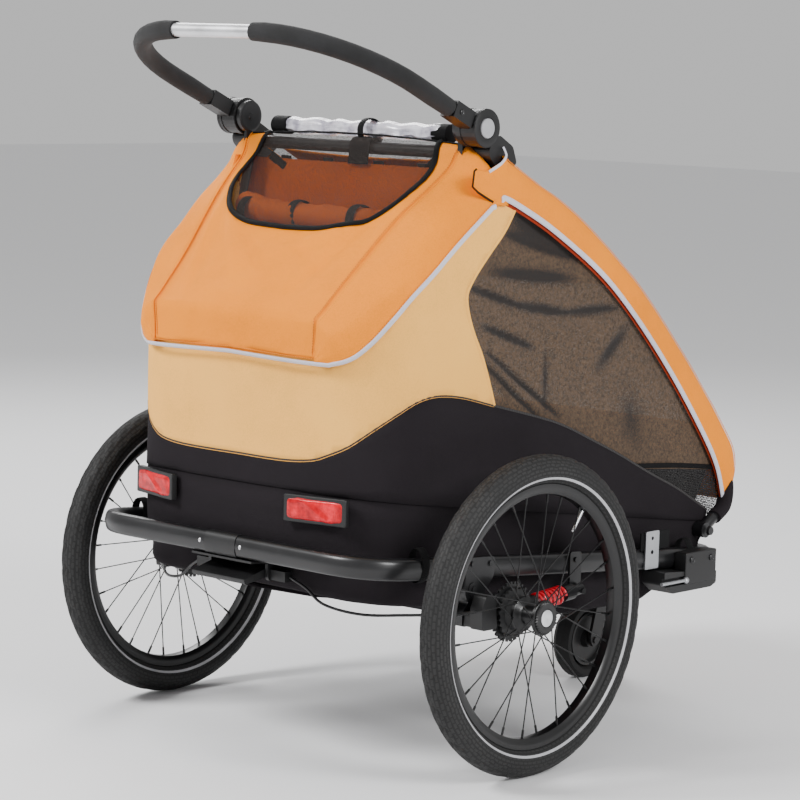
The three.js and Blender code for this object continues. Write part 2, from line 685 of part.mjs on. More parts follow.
// The rear flap is a lid of cloth: its corner seams run [half width, y, z] along the top faces, and
// its silver piping runs lower down, round the cabin's sides.
const FLAP = {
  top: [30, 926],
  fold: [268, 700],
  seam: [[229, 30, 925], [220, 64, 886], [202, 122, 825], [188, 188, 763], [180, 259, 702], [176, 264, 640]],
  piping: [[290, 0, 873], [290, 80, 813], [285, 157, 750], [270, 192, 708], [251, 219, 671],
    [229, 239, 646], [201, 254, 635.5], [178, 262, 635], [100, 272, 637]],
  thick: 3,
};
const WINDOW_CUT = { half: 180, length: 190 };

function convex(points) {
  return new ConvexGeometry(points.map((p) => new THREE.Vector3(...p)));
}

// A point on the flap's sloping face, at a distance down from its top edge and below its surface.
function flapPoint(along, depth) {
  const { top, fold } = FLAP;
  const slope = new THREE.Vector2(fold[0] - top[0], fold[1] - top[1]).normalize();
  return [top[0] + slope.x * along + slope.y * depth, top[1] + slope.y * along - slope.x * depth];
}

function rearCloth() {
  const { top, fold, thick } = FLAP;
  const bothSides = ([x, y, z]) => [[x, y, z], [-x, y, z]];
  const outside = [[150, ...top], [150, ...fold], ...FLAP.seam, ...FLAP.piping];
  const inwards = ([x, y, z]) => [x - thick, y - thick, z - thick];
  const below = ([x, y, z]) => [x - thick, y - thick - 0.5, z - 60];
  const hollow = [...outside.map(inwards), ...FLAP.piping.map(below), [200, -50, 900], [200, -50, 760],
    [287, -50, 860], [287, -50, 760]];
  const shell = cut(convex(outside.flatMap(bothSides)), convex(hollow.flatMap(bothSides)));
  const { half, length } = WINDOW_CUT;
  const corners = (from, to, depth) => [flapPoint(from, -depth), flapPoint(to, -depth),
    flapPoint(to, depth), flapPoint(from, depth)];
  add("rear_flap", cut(shell, sidePlate(corners(-40, length, 26), -half, half)), "orange");
  const pane = [flapPoint(2, 0.5), flapPoint(length - 2, 0.5), flapPoint(length - 2, 2.5),
    flapPoint(2, 2.5)];
  add("rear_window", sidePlate(pane, -half + 2, half - 2), "mesh");
  const ring = (inset) => planPrism(tubPlan(inset), 445, 780);
  const behind = sidePlate([[114, 440], [300, 440], [300, 630], [250, 630], [232, 640], [216, 660],
    [190, 694], [155, 730], [114, 758]], -300, 300);
  add("rear_panel", common(cut(ring(0), ring(3)), behind), "peach");
}

function rainCoverRoll() {
  add("rain_cover_roll", rodX(15, -186, 196, -21, 978, 14), "clear");
}

// ---------- parking brake, drawbar socket and cables ----------

const PEDAL = { y: 228, z: 299 };

function parkingBrake() {
  const plateTop = railHeight(250) - RAIL.tall / 2 - 1;
  const plate = sidePlate([[214, plateTop - 8], [280, plateTop - 2.5], [280, plateTop + 1],
    [214, plateTop - 4.5]], -66, 66);
  const ear = (side) => sidePlate([[214, 284], [242, 284], [244, plateTop - 4], [214, plateTop - 7]],
    side * 60, side * 66, 6);
  const pin = rodX(4, -64, 64, PEDAL.y, PEDAL.z, 10);
  const anchor = (side) => block([side * 64, 222, 286], [side * 98, 238, 302]);
  add("brake_bracket", join(plate, ear(RIGHT), ear(LEFT), pin, anchor(RIGHT), anchor(LEFT)),
    "blackPlastic");
  const lever = sidePlate([[218, 291], [238, 289], [284, 282], [288, 290], [238, 303], [220, 305]],
    -58, 58, 3);
  const pinRoom = rodX(4.6, -60, 60, PEDAL.y, PEDAL.z, 10);
  add("brake_pedal", cut(lever, pinRoom), "blackPlastic");
}

// Each cable leaves the bracket sideways, hangs in a shallow bow and runs forward to its brake lock.
const CABLE_ROUTE = [[101, 230, 294], [128, 222, 280], [160, 214, 258], [215, 190, 248], [270, 150, 250],
  [318, 112, 254], [345, 92, 258], [352, 81.5, 259]];

function brakeCables() {
  for (const [name, side] of SIDES) {
    const route = CABLE_ROUTE.map(([x, y, z]) => [side * x, y, z]);
    add(`brake_cable_${name}`, tube(smoothPath(route), 2.2, 22, 8), "blackPlastic");
  }
}

function drawbarSocket() {
  const { halfWidth, deep } = RAIL;
  const low = 225;
  const railUnder = (y) => railHeight(y) - RAIL.tall / 2 - 1.2;
  const housing = sidePlate(
    [[-545, low + 6], [-545, railUnder(-545)], [-402, railUnder(-402)], [-402, low + 16], [-424, low],
      [-530, low]],
    -(halfWidth - deep / 2), -345, 3,
  );
  const bore = block([-308, -560, 229], [-336, -440, 255]);
  const lockPinRoom = block([-339.5, -486, 237.5], [-352, -380, 251.5]);
  add("drawbar_socket", cut(housing, bore, lockPinRoom), "blackPlastic");
  const face = -(halfWidth + deep / 2) - GAP;
  const strap = sidePlate([[-409, 268], [-374, 268], [-374, 331], [-409, 331]], face, face - 3, 3);
  const holeLow = rodX(3.5, face + 5, face - 8, -391.5, 296, 10);
  const holeHigh = rodX(3, face + 5, face - 8, -391.5, 319, 10);
  add("drawbar_strap", cut(strap, holeLow, holeHigh), "steel");
  const rod = rodBetween([-346.5, -392, 244.5], [-346.5, -456, 244.5], 3, 10);
  const knob = new THREE.SphereGeometry(6, 12, 8).translate(-346.5, -458, 244.5);
  add("drawbar_lock_pin", join(rod, knob), "steel");
}

chassisLoop();
suspension();
mainWheels();
caster();
frontHoop();
handlePivots();
rearUprights();
pushHandle();
tub();
seat();
hood();
sideCloth();
rearCloth();
rainCoverRoll();
parkingBrake();
brakeCables();
drawbarSocket();

const footprint = new THREE.Box3().setFromObject(trailer, true);
trailer.position.y = -(footprint.min.y + footprint.max.y) / 2;
const part = new THREE.Group();
part.add(trailer);

export default part;
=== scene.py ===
"""The looks of a two-seat child bicycle trailer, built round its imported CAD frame.

Lengths are in metres. The trailer faces -Y and its right side is -X. Sizes here are measured from
the ground point midway between the main wheels; place() moves them into the row's frame.
"""

import json
import math

import bmesh
import bpy
from mathutils import Matrix, Vector
from mathutils.geometry import delaunay_2d_cdt


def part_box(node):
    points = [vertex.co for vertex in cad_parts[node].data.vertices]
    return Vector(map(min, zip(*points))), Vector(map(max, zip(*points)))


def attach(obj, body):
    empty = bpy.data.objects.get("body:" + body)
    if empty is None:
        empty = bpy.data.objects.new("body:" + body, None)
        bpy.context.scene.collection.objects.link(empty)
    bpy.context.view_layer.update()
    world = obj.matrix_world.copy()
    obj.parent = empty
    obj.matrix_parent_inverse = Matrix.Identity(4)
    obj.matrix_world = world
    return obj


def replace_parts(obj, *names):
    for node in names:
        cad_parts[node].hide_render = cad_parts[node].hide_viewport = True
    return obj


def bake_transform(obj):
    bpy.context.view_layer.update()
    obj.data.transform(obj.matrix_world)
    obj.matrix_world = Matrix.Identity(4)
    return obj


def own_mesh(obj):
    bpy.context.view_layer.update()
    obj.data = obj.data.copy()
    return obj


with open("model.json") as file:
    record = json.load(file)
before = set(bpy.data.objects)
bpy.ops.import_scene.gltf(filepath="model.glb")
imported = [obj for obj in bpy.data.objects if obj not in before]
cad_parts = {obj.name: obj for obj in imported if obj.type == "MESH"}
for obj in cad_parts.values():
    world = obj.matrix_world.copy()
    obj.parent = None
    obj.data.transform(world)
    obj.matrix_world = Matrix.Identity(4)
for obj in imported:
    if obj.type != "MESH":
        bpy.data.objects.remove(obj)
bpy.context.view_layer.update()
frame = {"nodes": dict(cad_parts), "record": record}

JOINTS = {joint["name"]: joint for joint in frame["record"]["behaviour"]["joints"]}
AXLE_Y = JOINTS["wheel_right_spin"]["pos_m"][1]
AXLE_Z = JOINTS["wheel_right_spin"]["pos_m"][2]
WHEEL_X = JOINTS["wheel_left_spin"]["pos_m"][0]
PIVOT_Z = JOINTS["handle_tilt"]["pos_m"][2]
PIVOT_Y = JOINTS["handle_tilt"]["pos_m"][1] - AXLE_Y
SIDES = [("right", -1), ("left", 1)]

# The tub's rigid top edge, which rises towards the rear.
SHELF_REAR_Y = 0.253
SHELF_REAR_Z = 0.438
SHELF_SLOPE = 0.135


def place(point):
    x, y, z = point
    return Vector((x, y + AXLE_Y, z))


# ---------- materials ----------


class Nodes:
    """A short way to write a node tree: every call adds one node and returns its output."""

    def __init__(self, name):
        self.material = bpy.data.materials.new(name)
        self.material.use_nodes = True
        self.tree = self.material.node_tree
        self.shader = self.tree.nodes["Principled BSDF"]

    def node(self, kind, inputs=(), output=0, **settings):
        node = self.tree.nodes.new(kind)
        for key, value in settings.items():
            setattr(node, key, value)
        for key, value in dict(inputs).items():
            self.feed(node.inputs[key], value)
        return node.outputs[output]

    def feed(self, socket, value):
        if isinstance(value, bpy.types.NodeSocket):
            self.tree.links.new(value, socket)
        else:
            socket.default_value = value

    def set(self, **values):
        for key, value in values.items():
            self.feed(self.shader.inputs[key.replace("_", " ")], value)

    def where(self):
        """Where a point lies on the piece, in metres."""
        return self.node("ShaderNodeTexCoord", output="Object")

    def flat(self):
        """The piece's own flat pattern, in metres."""
        return self.node("ShaderNodeTexCoord", output="UV")

    def flat_axes(self):
        split = self.tree.nodes.new("ShaderNodeSeparateXYZ")
        self.feed(split.inputs[0], self.flat())
        return split.outputs[0], split.outputs[1]

    def math(self, operation, a, b=0.0):
        return self.node("ShaderNodeMath", {0: a, 1: b}, operation=operation)

    def multiply(self, a, b):
        inputs = {0: 1.0, 6: a, 7: b}
        return self.node("ShaderNodeMix", inputs, output=2, data_type="RGBA", blend_type="MULTIPLY")

    def ramp(self, fac, stops):
        node = self.tree.nodes.new("ShaderNodeValToRGB")
        elements = node.color_ramp.elements
        while len(elements) < len(stops):
            elements.new(0.5)
        for element, (position, colour) in zip(elements, stops):
            element.position = position
            element.color = (*colour, 1.0)
        self.feed(node.inputs["Fac"], fac)
        return node.outputs["Color"]

    def noise(self, vector, scale, detail=3.0, roughness=0.6):
        inputs = {"Vector": vector, "Scale": scale, "Detail": detail, "Roughness": roughness}
        return self.node("ShaderNodeTexNoise", inputs, output="Fac")

    def let_light_through(self, colour, share):
        """Thin cloth passes some light, so its underside glows in its own colour."""
        glow = self.node("ShaderNodeBsdfTranslucent", {"Color": (*colour, 1.0)}, output="BSDF")
        inputs = {0: share, 1: self.shader.outputs["BSDF"], 2: glow}
        mixed = self.node("ShaderNodeMixShader", inputs, output="Shader")
        self.feed(self.tree.nodes["Material Output"].inputs["Surface"], mixed)

    def bump(self, height, strength, distance, normal=None):
        inputs = {"Height": height, "Strength": strength, "Distance": distance}
        if normal is not None:
            inputs["Normal"] = normal
        return self.node("ShaderNodeBump", inputs)


def shade(colour, factor):
    return tuple(min(1.0, c * factor) for c in colour)


def cloth(name, colour, thread=0.0011, rough=0.78, sheen=0.0, creases=0.5, weave=0.35, through=0.0):
    """Woven cloth whose threads follow the piece's own flat pattern."""
    n = Nodes(name)
    across, down = n.flat_axes()
    where = n.where()
    turns = 2 * math.pi / thread
    warp = n.math("SINE", n.math("MULTIPLY", across, turns))
    weft = n.math("SINE", n.math("MULTIPLY", down, turns))
    threads = n.math("MULTIPLY", warp, weft)
    slub = n.noise(where, 420.0, 2.0)
    broad = n.noise(where, 7.0, 3.0)
    crease = n.noise(where, 26.0, 4.0, 0.55)
    tone = n.math("ADD", n.math("MULTIPLY", broad, 0.55), n.math("MULTIPLY", slub, 0.45))
    base = n.ramp(tone, [(0.34, shade(colour, 0.88)), (0.52, colour), (0.7, shade(colour, 1.07))])
    n.set(Base_Color=base, Roughness=rough, Specular_IOR_Level=0.12)
    n.set(Sheen_Weight=sheen, Sheen_Roughness=0.45)
    folds = n.bump(crease, creases, 0.004)
    n.set(Normal=n.bump(threads, weave, 0.0005, folds))
    if through:
        n.let_light_through(colour, through)
    return n.material


def stitching(name, colour, gap_colour):
    """Sewing thread that dips in and out of the cloth every few millimetres."""
    n = Nodes(name)
    _, down = n.flat_axes()
    beat = n.math("SINE", n.math("MULTIPLY", down, 2 * math.pi / STITCH))
    n.set(Base_Color=n.ramp(beat, [(0.1, gap_colour), (0.3, colour)]), Roughness=0.7)
    n.set(Normal=n.bump(beat, 0.6, 0.0006))
    return n.material


def netting(name, colour, cell, open_share):
    """See-through net: light passes between the threads."""
    n = Nodes(name)
    where = n.where()
    pattern = {"Vector": n.flat(), "Scale": 1 / cell, "Randomness": 0.35}
    cells = n.node("ShaderNodeTexVoronoi", pattern, output="Distance")
    specks = n.noise(where, 230.0, 2.0)
    broad = n.noise(where, 9.0, 2.0)
    fold = n.node("ShaderNodeAttribute", output="Fac", attribute_name="fold")
    speckled = n.ramp(specks, [(0.36, shade(colour, 0.55)), (0.5, colour), (0.66, shade(colour, 1.5))])
    # Painted shade: the net is darkened along its folds, where shade falls in the creases. The extra opacity
    # there stands for the cloth lying doubled.
    fold_shade = n.ramp(fold, [(0.0, (1.0, 1.0, 1.0)), (0.8, (0.12, 0.10, 0.10))])
    n.set(Base_Color=n.multiply(speckled, fold_shade), Roughness=0.8, Sheen_Weight=0.03)
    n.set(Normal=n.bump(cells, 0.5, 0.0006))
    holes = n.math("LESS_THAN", cells, open_share * 0.62)
    thin = n.math("ADD", n.math("MULTIPLY", broad, 0.25), 1.0 - open_share)
    solid = n.math("MAXIMUM", n.math("SUBTRACT", 1.0, holes), n.math("MULTIPLY", thin, 0.55))
    n.set(Alpha=n.math("MAXIMUM", solid, n.math("MULTIPLY", fold, 0.9)))
    return n.material


def plastic(name, colour, rough=0.5, strength=0.12):
    n = Nodes(name)
    where = n.where()
    fine = n.noise(where, 700.0, 2.0)
    dust = n.noise(where, 18.0, 4.0)
    n.set(Base_Color=n.ramp(dust, [(0.3, shade(colour, 0.8)), (0.6, colour), (0.8, shade(colour, 1.25))]))
    n.set(Roughness=n.math("ADD", n.math("MULTIPLY", dust, 0.22), rough - 0.1))
    n.set(Normal=n.bump(fine, strength, 0.0004))
    return n.material


def metal(name, colour, rough, metallic=1.0, coat=0.0, brushed=0.0):
    n = Nodes(name)
    where = n.where()
    smudge = n.noise(where, 22.0, 4.0)
    fine = n.noise(where, 900.0, 2.0)
    n.set(Base_Color=n.ramp(smudge, [(0.3, shade(colour, 0.82)), (0.65, colour)]))
    n.set(Roughness=n.math("ADD", n.math("MULTIPLY", smudge, 0.2), rough - 0.08))
    n.set(Metallic=metallic, Coat_Weight=coat, Coat_Roughness=0.25)
    n.set(Normal=n.bump(fine, 0.06 + brushed, 0.0002))
    return n.material


def foam():
    n = Nodes("grip_foam")
    where = n.where()
    pores = n.node("ShaderNodeTexVoronoi", {"Vector": where, "Scale": 900.0}, output="Distance")
    wear = n.noise(where, 30.0, 4.0)
    n.set(Base_Color=n.ramp(wear, [(0.3, (0.004, 0.004, 0.004)), (0.7, (0.011, 0.011, 0.012))]))
    n.set(Roughness=0.9, Sheen_Weight=0.06, Normal=n.bump(pores, 0.5, 0.0006))
    return n.material


def tyre_rubber():
    n = Nodes("tyre_rubber")
    where = n.where()
    dust = n.noise(where, 14.0, 5.0)
    fine = n.noise(where, 600.0, 2.0)
    tread = {"Vector": n.flat(), "Scale": 1.0, "Brick Width": 0.0120, "Row Height": 0.0062,
             "Mortar Size": 0.0015, "Mortar Smooth": 0.2, "Bias": 0.0}
    gap = n.node("ShaderNodeTexBrick", tread, output="Fac", offset=0.5)
    worn = n.ramp(dust, [(0.3, (0.008, 0.008, 0.0085)), (0.7, (0.020, 0.0195, 0.0195))])
    # Painted shade: the tread's grooves are darkened, standing in for the shade that falls in them.
    groove_shade = n.ramp(gap, [(0.0, (1.0, 1.0, 1.0)), (1.0, (0.12, 0.12, 0.12))])
    n.set(Base_Color=n.multiply(worn, groove_shade), Roughness=0.7)
    n.set(Normal=n.bump(n.math("SUBTRACT", 1.0, gap), 1.0, 0.004, n.bump(fine, 0.2, 0.0004)))
    return n.material


def film():
    n = Nodes("clear_film")
    ripple = n.noise(n.where(), 34.0, 3.0)
    layers = n.ramp(ripple, [(0.36, (0.42, 0.40, 0.48)), (0.5, (0.78, 0.76, 0.84)),
                             (0.64, (0.95, 0.94, 1.0))])
    n.set(Base_Color=layers, Roughness=0.16, Coat_Weight=0.6, Coat_Roughness=0.08, IOR=1.45)
    n.set(Transmission_Weight=0.35, Alpha=0.9, Normal=n.bump(ripple, 0.7, 0.004))
    return n.material


def reflector_lens():
    """Deep red with rows of small prisms under a glossy face."""
    n = Nodes("reflector_lens")
    where = n.where()
    prisms = n.node("ShaderNodeTexWave", {"Vector": where, "Scale": 90.0}, output="Fac")
    cloudy = n.noise(where, 60.0, 2.0)
    base = n.ramp(cloudy, [(0.35, (0.34, 0.0, 0.004)), (0.55, (0.60, 0.001, 0.010)),
                           (0.7, (0.85, 0.010, 0.03))])
    n.set(Base_Color=base, Roughness=0.2, Coat_Weight=0.25, Coat_Roughness=0.04, Specular_IOR_Level=0.2)
    n.set(Normal=n.bump(prisms, 0.35, 0.0006))
    return n.material


STITCH = 0.0042
ORANGE = (1.0, 0.285, 0.0)
PEACH = (0.98, 0.49, 0.10)
INNER_ORANGE = (0.85, 0.17, 0.012)

MATERIAL = {
    "orange": cloth("orange_canvas", ORANGE, rough=0.55, creases=0.9, weave=0.3, through=0.06),
    "peach": cloth("peach_canvas", PEACH, rough=0.8, creases=0.3, weave=0.3),
    "black": cloth("black_canvas", (0.0170, 0.0140, 0.0165), rough=0.85, creases=0.6, weave=0.6),
    "inner": cloth("inner_lining", INNER_ORANGE, rough=0.8, through=0.3),
    "seat": cloth("seat_cloth", (0.30, 0.030, 0.010), rough=0.85, creases=0.5),
    "webbing": cloth("black_webbing", (0.006, 0.006, 0.0065), thread=0.0022, rough=0.6, weave=0.9),
    "piping": cloth("silver_piping", (0.60, 0.59, 0.66), rough=0.42, sheen=0.1, weave=0.2),
    "thread_orange": stitching("orange_thread", shade(ORANGE, 0.55), shade(ORANGE, 0.95)),
    "thread_black": stitching("black_thread", (0.035, 0.03, 0.03), (0.006, 0.006, 0.006)),
    # The side net is dark. Its brown tint is painted light, the orange of the cabin's inside shining through
    # it.
    "net": netting("side_net", (0.062, 0.036, 0.018), 0.0012, 0.28),
    "rear_net": netting("rear_net", (0.016, 0.009, 0.006), 0.0018, 0.80),
    "window": netting("dark_window", (0.006, 0.005, 0.005), 0.003, 0.62),
    "tube": metal("black_tube", (0.0085, 0.0085, 0.0095), 0.34, metallic=0.2, coat=0.25),
    "rim": metal("rim_black", (0.0065, 0.0065, 0.007), 0.30, metallic=0.3, coat=0.2),
    "steel": metal("bare_steel", (0.55, 0.56, 0.58), 0.34),
    "silver": metal("silver_tube", (0.78, 0.78, 0.80), 0.34, metallic=0.8, brushed=0.1),
    "red": metal("red_spring", (0.72, 0.006, 0.022), 0.3, metallic=0.1, coat=0.6),
    "plastic": plastic("black_plastic", (0.0085, 0.0085, 0.009), 0.42),
    "grey": plastic("grey_plastic", (0.40, 0.40, 0.42), 0.42),
    "cable": plastic("cable_sheath", (0.006, 0.006, 0.0065), 0.3, strength=0.03),
    "tyre": tyre_rubber(),
    "stripe": metal("reflective_stripe", (0.46, 0.46, 0.48), 0.35, metallic=0.1),
    "foam": foam(),
    "film": film(),
    "lens": reflector_lens(),
}


# ---------- making meshes ----------


def finish_piece(name, bm, look, body):
    """Turns a bmesh into a piece of the trailer with its material and its CAD body."""
    mesh = bpy.data.meshes.new(name)
    bm.to_mesh(mesh)
    bm.free()
    piece = bpy.data.objects.new(name, mesh)
    bpy.context.collection.objects.link(piece)
    mesh.materials.append(MATERIAL[look])
    for polygon in mesh.polygons:
        polygon.use_smooth = True
    if body:
        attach(piece, body)
    return piece


def thicken(piece, thickness, offset=-1.0):
    solid = piece.modifiers.new("thickness", "SOLIDIFY")
    solid.thickness = thickness
    solid.offset = offset
    return piece


def refine(piece):
    subdivision = piece.modifiers.new("smooth", "SUBSURF")
    subdivision.levels = subdivision.render_levels = 1
    return piece


def soften(piece):
    bevel = piece.modifiers.new("edges", "BEVEL")
    bevel.width = 0.0012
    bevel.segments = 2
    bevel.limit_method = "ANGLE"
    bevel.angle_limit = math.radians(35)
    return piece


def fold_flat(piece):
    """Gives the piece a mesh of its own."""
    anchor = place((0, SHELF_REAR_Y, SHELF_REAR_Z))
    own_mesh(piece)
    return piece


def grid(name, rows, look, body):
    """A surface through rows of points; its flat pattern is measured along the rows."""
    bm = bmesh.new()
    uv = bm.loops.layers.uv.new("flat")
    verts = [[bm.verts.new(place(p)) for p in row] for row in rows]
    down = 0.0
    heights = []
    for i, row in enumerate(rows):
        if i:
            middle = len(row) // 2
            down += (Vector(row[middle]) - Vector(rows[i - 1][middle])).length
        heights.append(down)
    across = []
    for row in rows:
        run = [0.0]
        for a, b in zip(row, row[1:]):
            run.append(run[-1] + (Vector(b) - Vector(a)).length)
        across.append([value - run[-1] / 2 for value in run])
    for i in range(len(rows) - 1):
        for j in range(len(rows[0]) - 1):
            corners = [(i, j), (i, j + 1), (i + 1, j + 1), (i + 1, j)]
            face = bm.faces.new([verts[a][b] for a, b in corners])
            for loop, (a, b) in zip(face.loops, corners):
                loop[uv].uv = (across[a][b], heights[a])
    return finish_piece(name, bm, look, body)


def inside(u, v, ring):
    """Whether a flat point is inside a closed ring of points."""
    odd = False
    for (a, b), (c, d) in zip(ring, ring[1:] + ring[:1]):
        if (b > v) != (d > v) and u < (c - a) * (v - b) / (d - b) + a:
            odd = not odd
    return odd


def clearance(u, v, ring):
    """How far a flat point is from a closed ring of points."""
    nearest = 1e9
    spot = Vector((u, v))
    for a, b in zip(ring, ring[1:] + ring[:1]):
        start = Vector(a)
        along = Vector(b) - start
        share = clamp((spot - start).dot(along) / max(along.length_squared, 1e-12))
        nearest = min(nearest, (spot - start - along * share).length)
    return nearest


def patch(name, outline, surface, look, step=0.012, fold=None):
    """Cloth cut to a flat outline and laid on surface(u, v); fold(u, v) gives how deeply it is folded, which
    the net paints as shade and as denser cloth.
    """
    points = [Vector(p) for p in outline]
    edges = [(i, (i + 1) % len(outline)) for i in range(len(outline))]
    us = [p[0] for p in outline]
    vs = [p[1] for p in outline]
    rim = step * 0.45  # cloth this close to the outline has no points of its own
    for i in range(int((max(us) - min(us)) / step) + 1):
        for j in range(int((max(vs) - min(vs)) / step) + 1):
            u = min(us) + (i + 0.5 * (j % 2)) * step
            v = min(vs) + j * step
            if inside(u, v, outline) and clearance(u, v, outline) > rim:
                points.append(Vector((u, v)))
    flat, _, faces, *_ = delaunay_2d_cdt(points, edges, [], 1, 1e-5)
    bm = bmesh.new()
    uv = bm.loops.layers.uv.new("flat")
    verts = [bm.verts.new(place(surface(p.x, p.y))) for p in flat]
    for corners in faces:
        face = bm.faces.new([verts[i] for i in corners])
        for loop, i in zip(face.loops, corners):
            loop[uv].uv = flat[i]
    used = [i for i, vert in enumerate(verts) if vert.link_faces]
    for vert in [v for v in bm.verts if not v.link_faces]:
        bm.verts.remove(vert)
    piece = finish_piece(name, bm, look, "chassis")
    if fold:
        layer = piece.data.attributes.new("fold", "FLOAT", "POINT")
        for value, i in zip(layer.data, used):
            value.value = fold(flat[i].x, flat[i].y)
    return piece


def smooth_line(points, per_span=6):
    """A smooth line through the points, with a fixed number of steps from each to the next."""
    points = [Vector(p) for p in points]
    count = len(points)
    line = []
    for i in range(count - 1):
        p1, p2 = points[i], points[i + 1]
        p0 = points[i - 1] if i else p1 * 2 - p2
        p3 = points[i + 2] if i + 2 < count else p2 * 2 - p1
        for j in range(per_span):
            t = j / per_span
            line.append(0.5 * (2 * p1 + (p2 - p0) * t + (2 * p0 - 5 * p1 + 4 * p2 - p3) * t**2
                               + (3 * p1 - p0 - 3 * p2 + p3) * t**3))
    return line + [points[-1]]


def angles(count):
    """Equal steps once round a circle."""
    return [2 * math.pi * i / count for i in range(count)]


def spread(half, steps):
    """Equal steps from -half to half."""
    return [-half + 2 * half * i / steps for i in range(steps + 1)]


def mirrored(points, side):
    """Points given for the left side, on the side asked for."""
    return [(side * x, y, z) for x, y, z in points]


def sided(profile, side, start=0.0):
    """A lathe profile that runs outwards on its side, from a place across the trailer."""
    return [(side * (start + t), r) for t, r in profile]


def ellipse(a, b, sides=16, power=1.0):
    """A rounded section with half sizes a and b; a power under 1 makes it squarer."""
    ring = []
    for angle in angles(sides):
        c, s = math.cos(angle), math.sin(angle)
        ring.append((a * math.copysign(abs(c) ** power, c), b * math.copysign(abs(s) ** power, s)))
    return ring


def sweep(name, line, section, look, body, up=(0, 0, 1), closed=False, scale=None):
    """A tube along a line. The section's first axis lies towards up, as far as the line allows."""
    line = [Vector(p) for p in line]
    up = Vector(up)
    bm = bmesh.new()
    uv = bm.loops.layers.uv.new("flat")
    rings = []
    lengths = [0.0]
    for i, point in enumerate(line):
        before = line[i - 1] if i or closed else point
        after = line[(i + 1) % len(line)] if i + 1 < len(line) or closed else point
        along = (after - before).normalized()
        first = (up - along * up.dot(along)).normalized()
        second = along.cross(first)
        size = scale(i / (len(line) - 1)) if scale else 1.0
        rings.append([bm.verts.new(place(point + first * a * size + second * b * size)) for a, b in section])
        up = first if not closed else up
        if i:
            lengths.append(lengths[-1] + (point - line[i - 1]).length)
    sides = len(section)
    girth = [0.0]
    for a, b in zip(section, section[1:] + section[:1]):
        girth.append(girth[-1] + math.dist(a, b))
    for i in range(len(rings) if closed else len(rings) - 1):
        j = (i + 1) % len(rings)
        for k in range(sides):
            m = (k + 1) % sides
            face = bm.faces.new([rings[i][k], rings[i][m], rings[j][m], rings[j][k]])
            lows = lengths[i], lengths[i] + (lengths[1] if j == 0 else lengths[j] - lengths[i])
            for loop, value in zip(face.loops, [(girth[k], lows[0]), (girth[k + 1], lows[0]),
                                                (girth[k + 1], lows[1]), (girth[k], lows[1])]):
                loop[uv].uv = value
    if not closed:
        bm.faces.new(list(reversed(rings[0])))
        bm.faces.new(rings[-1])
    bmesh.ops.recalc_face_normals(bm, faces=bm.faces)
    piece = finish_piece(name, bm, look, body)
    sharpen(piece)
    return piece


def sharpen(piece, degrees=40):
    """Faces meeting at more than this angle keep a crisp edge."""
    mesh = piece.data
    bm = bmesh.new()
    bm.from_mesh(mesh)
    for edge in bm.edges:
        if len(edge.link_faces) == 2 and edge.calc_face_angle(0) > math.radians(degrees):
            edge.smooth = False
    bm.to_mesh(mesh)
    bm.free()
    return piece


def lathe(name, profile, centre, look, body, segments=96, closed=False, wave=None):
    """A turned piece: profile points are (along the axis, radius); wave(angle, radius) adds teeth."""
    cx, cy, cz = centre
    rows = []
    for t, r in profile:
        row = []
        for angle in angles(segments):
            radius = r + (wave(angle, r) if wave else 0.0)
            c, s = radius * math.cos(angle), radius * math.sin(angle)
            row.append((cx + t, cy + c, cz + s))
        rows.append(row)
    if closed:
        rows.append(rows[0])
    bm = bmesh.new()
    verts = []
    for row in rows:
        verts.append([bm.verts.new(place(p)) for p in row])
    for i in range(len(rows) - 1):
        for j in range(segments):
            k = (j + 1) % segments
            bm.faces.new([verts[i][j], verts[i][k], verts[i + 1][k], verts[i + 1][j]])
    if not closed:
        bm.faces.new(verts[0])
        bm.faces.new(verts[-1])
    bmesh.ops.remove_doubles(bm, verts=bm.verts, dist=1e-6)
    bmesh.ops.recalc_face_normals(bm, faces=bm.faces)
    return sharpen(finish_piece(name, bm, look, body))


def slab(name, low, high, look, body, edge=0.0015):
    """A moulded block with softened edges between two corners."""
    bm = bmesh.new()
    bmesh.ops.create_cube(bm, size=1.0)
    low, high = place(low), place(high)
    for vert in bm.verts:
        vert.co = Vector([(low[i] + high[i]) / 2 + vert.co[i] * (high[i] - low[i]) for i in range(3)])
    bmesh.ops.bevel(bm, geom=bm.edges[:], offset=edge, segments=3, affect="EDGES", profile=0.7)
    return sharpen(finish_piece(name, bm, look, body))


def joined(name, pieces):
    """Several pieces of one body and one material become one piece."""
    first = pieces[0]
    bm = bmesh.new()
    for piece in pieces:
        bm.from_mesh(piece.data)
    bm.to_mesh(first.data)
    bm.free()
    for piece in pieces[1:]:
        bpy.data.objects.remove(piece)
    first.name = name
    return first


def clamp(value):
    return max(0.0, min(1.0, value))


def between(value, low, high):
    """Eases from 0 at low to 1 at high."""
    t = clamp((value - low) / (high - low))
    return t * t * (3 - 2 * t)


def ribbon(name, line, a, b, look="webbing", sides=8, **more):
    """A band, thread or piping with half sizes a and b, on the cloth that folds."""
    return fold_flat(sweep(name, line, ellipse(a, b, sides), look, "chassis", **more))


def teeth(count, height, above):
    """Square teeth round every ring of a turned piece that is wider than a radius."""
    return lambda angle, r: (height if math.sin(count * angle) > 0 else -height) if r > above else 0.0


def outer_face(side):
    """Which way a side piece thickens, so that its outer face stays outermost."""
    return 1.0 if side > 0 else -1.0


def along_table(table, value):
    """Reads a table of (place, value) pairs, with straight lines between them."""
    for (a, p), (b, q) in zip(table, table[1:]):
        if value <= b:
            return p + (q - p) * max(0.0, (value - a) / (b - a))
    return table[-1][1]


# ---------- the cabin's shape ----------

HALF = 0.2845
FRONT = -0.598
WALL_TURN = math.radians(12)  # how far the rear wall has turned where its corner arc starts
CORNER_STEPS = 40
# How thick the cloths are.
TUB_CLOTH, SIDE_CLOTH, CANVAS, LINING = 0.0025, 0.002, 0.0018, 0.0015


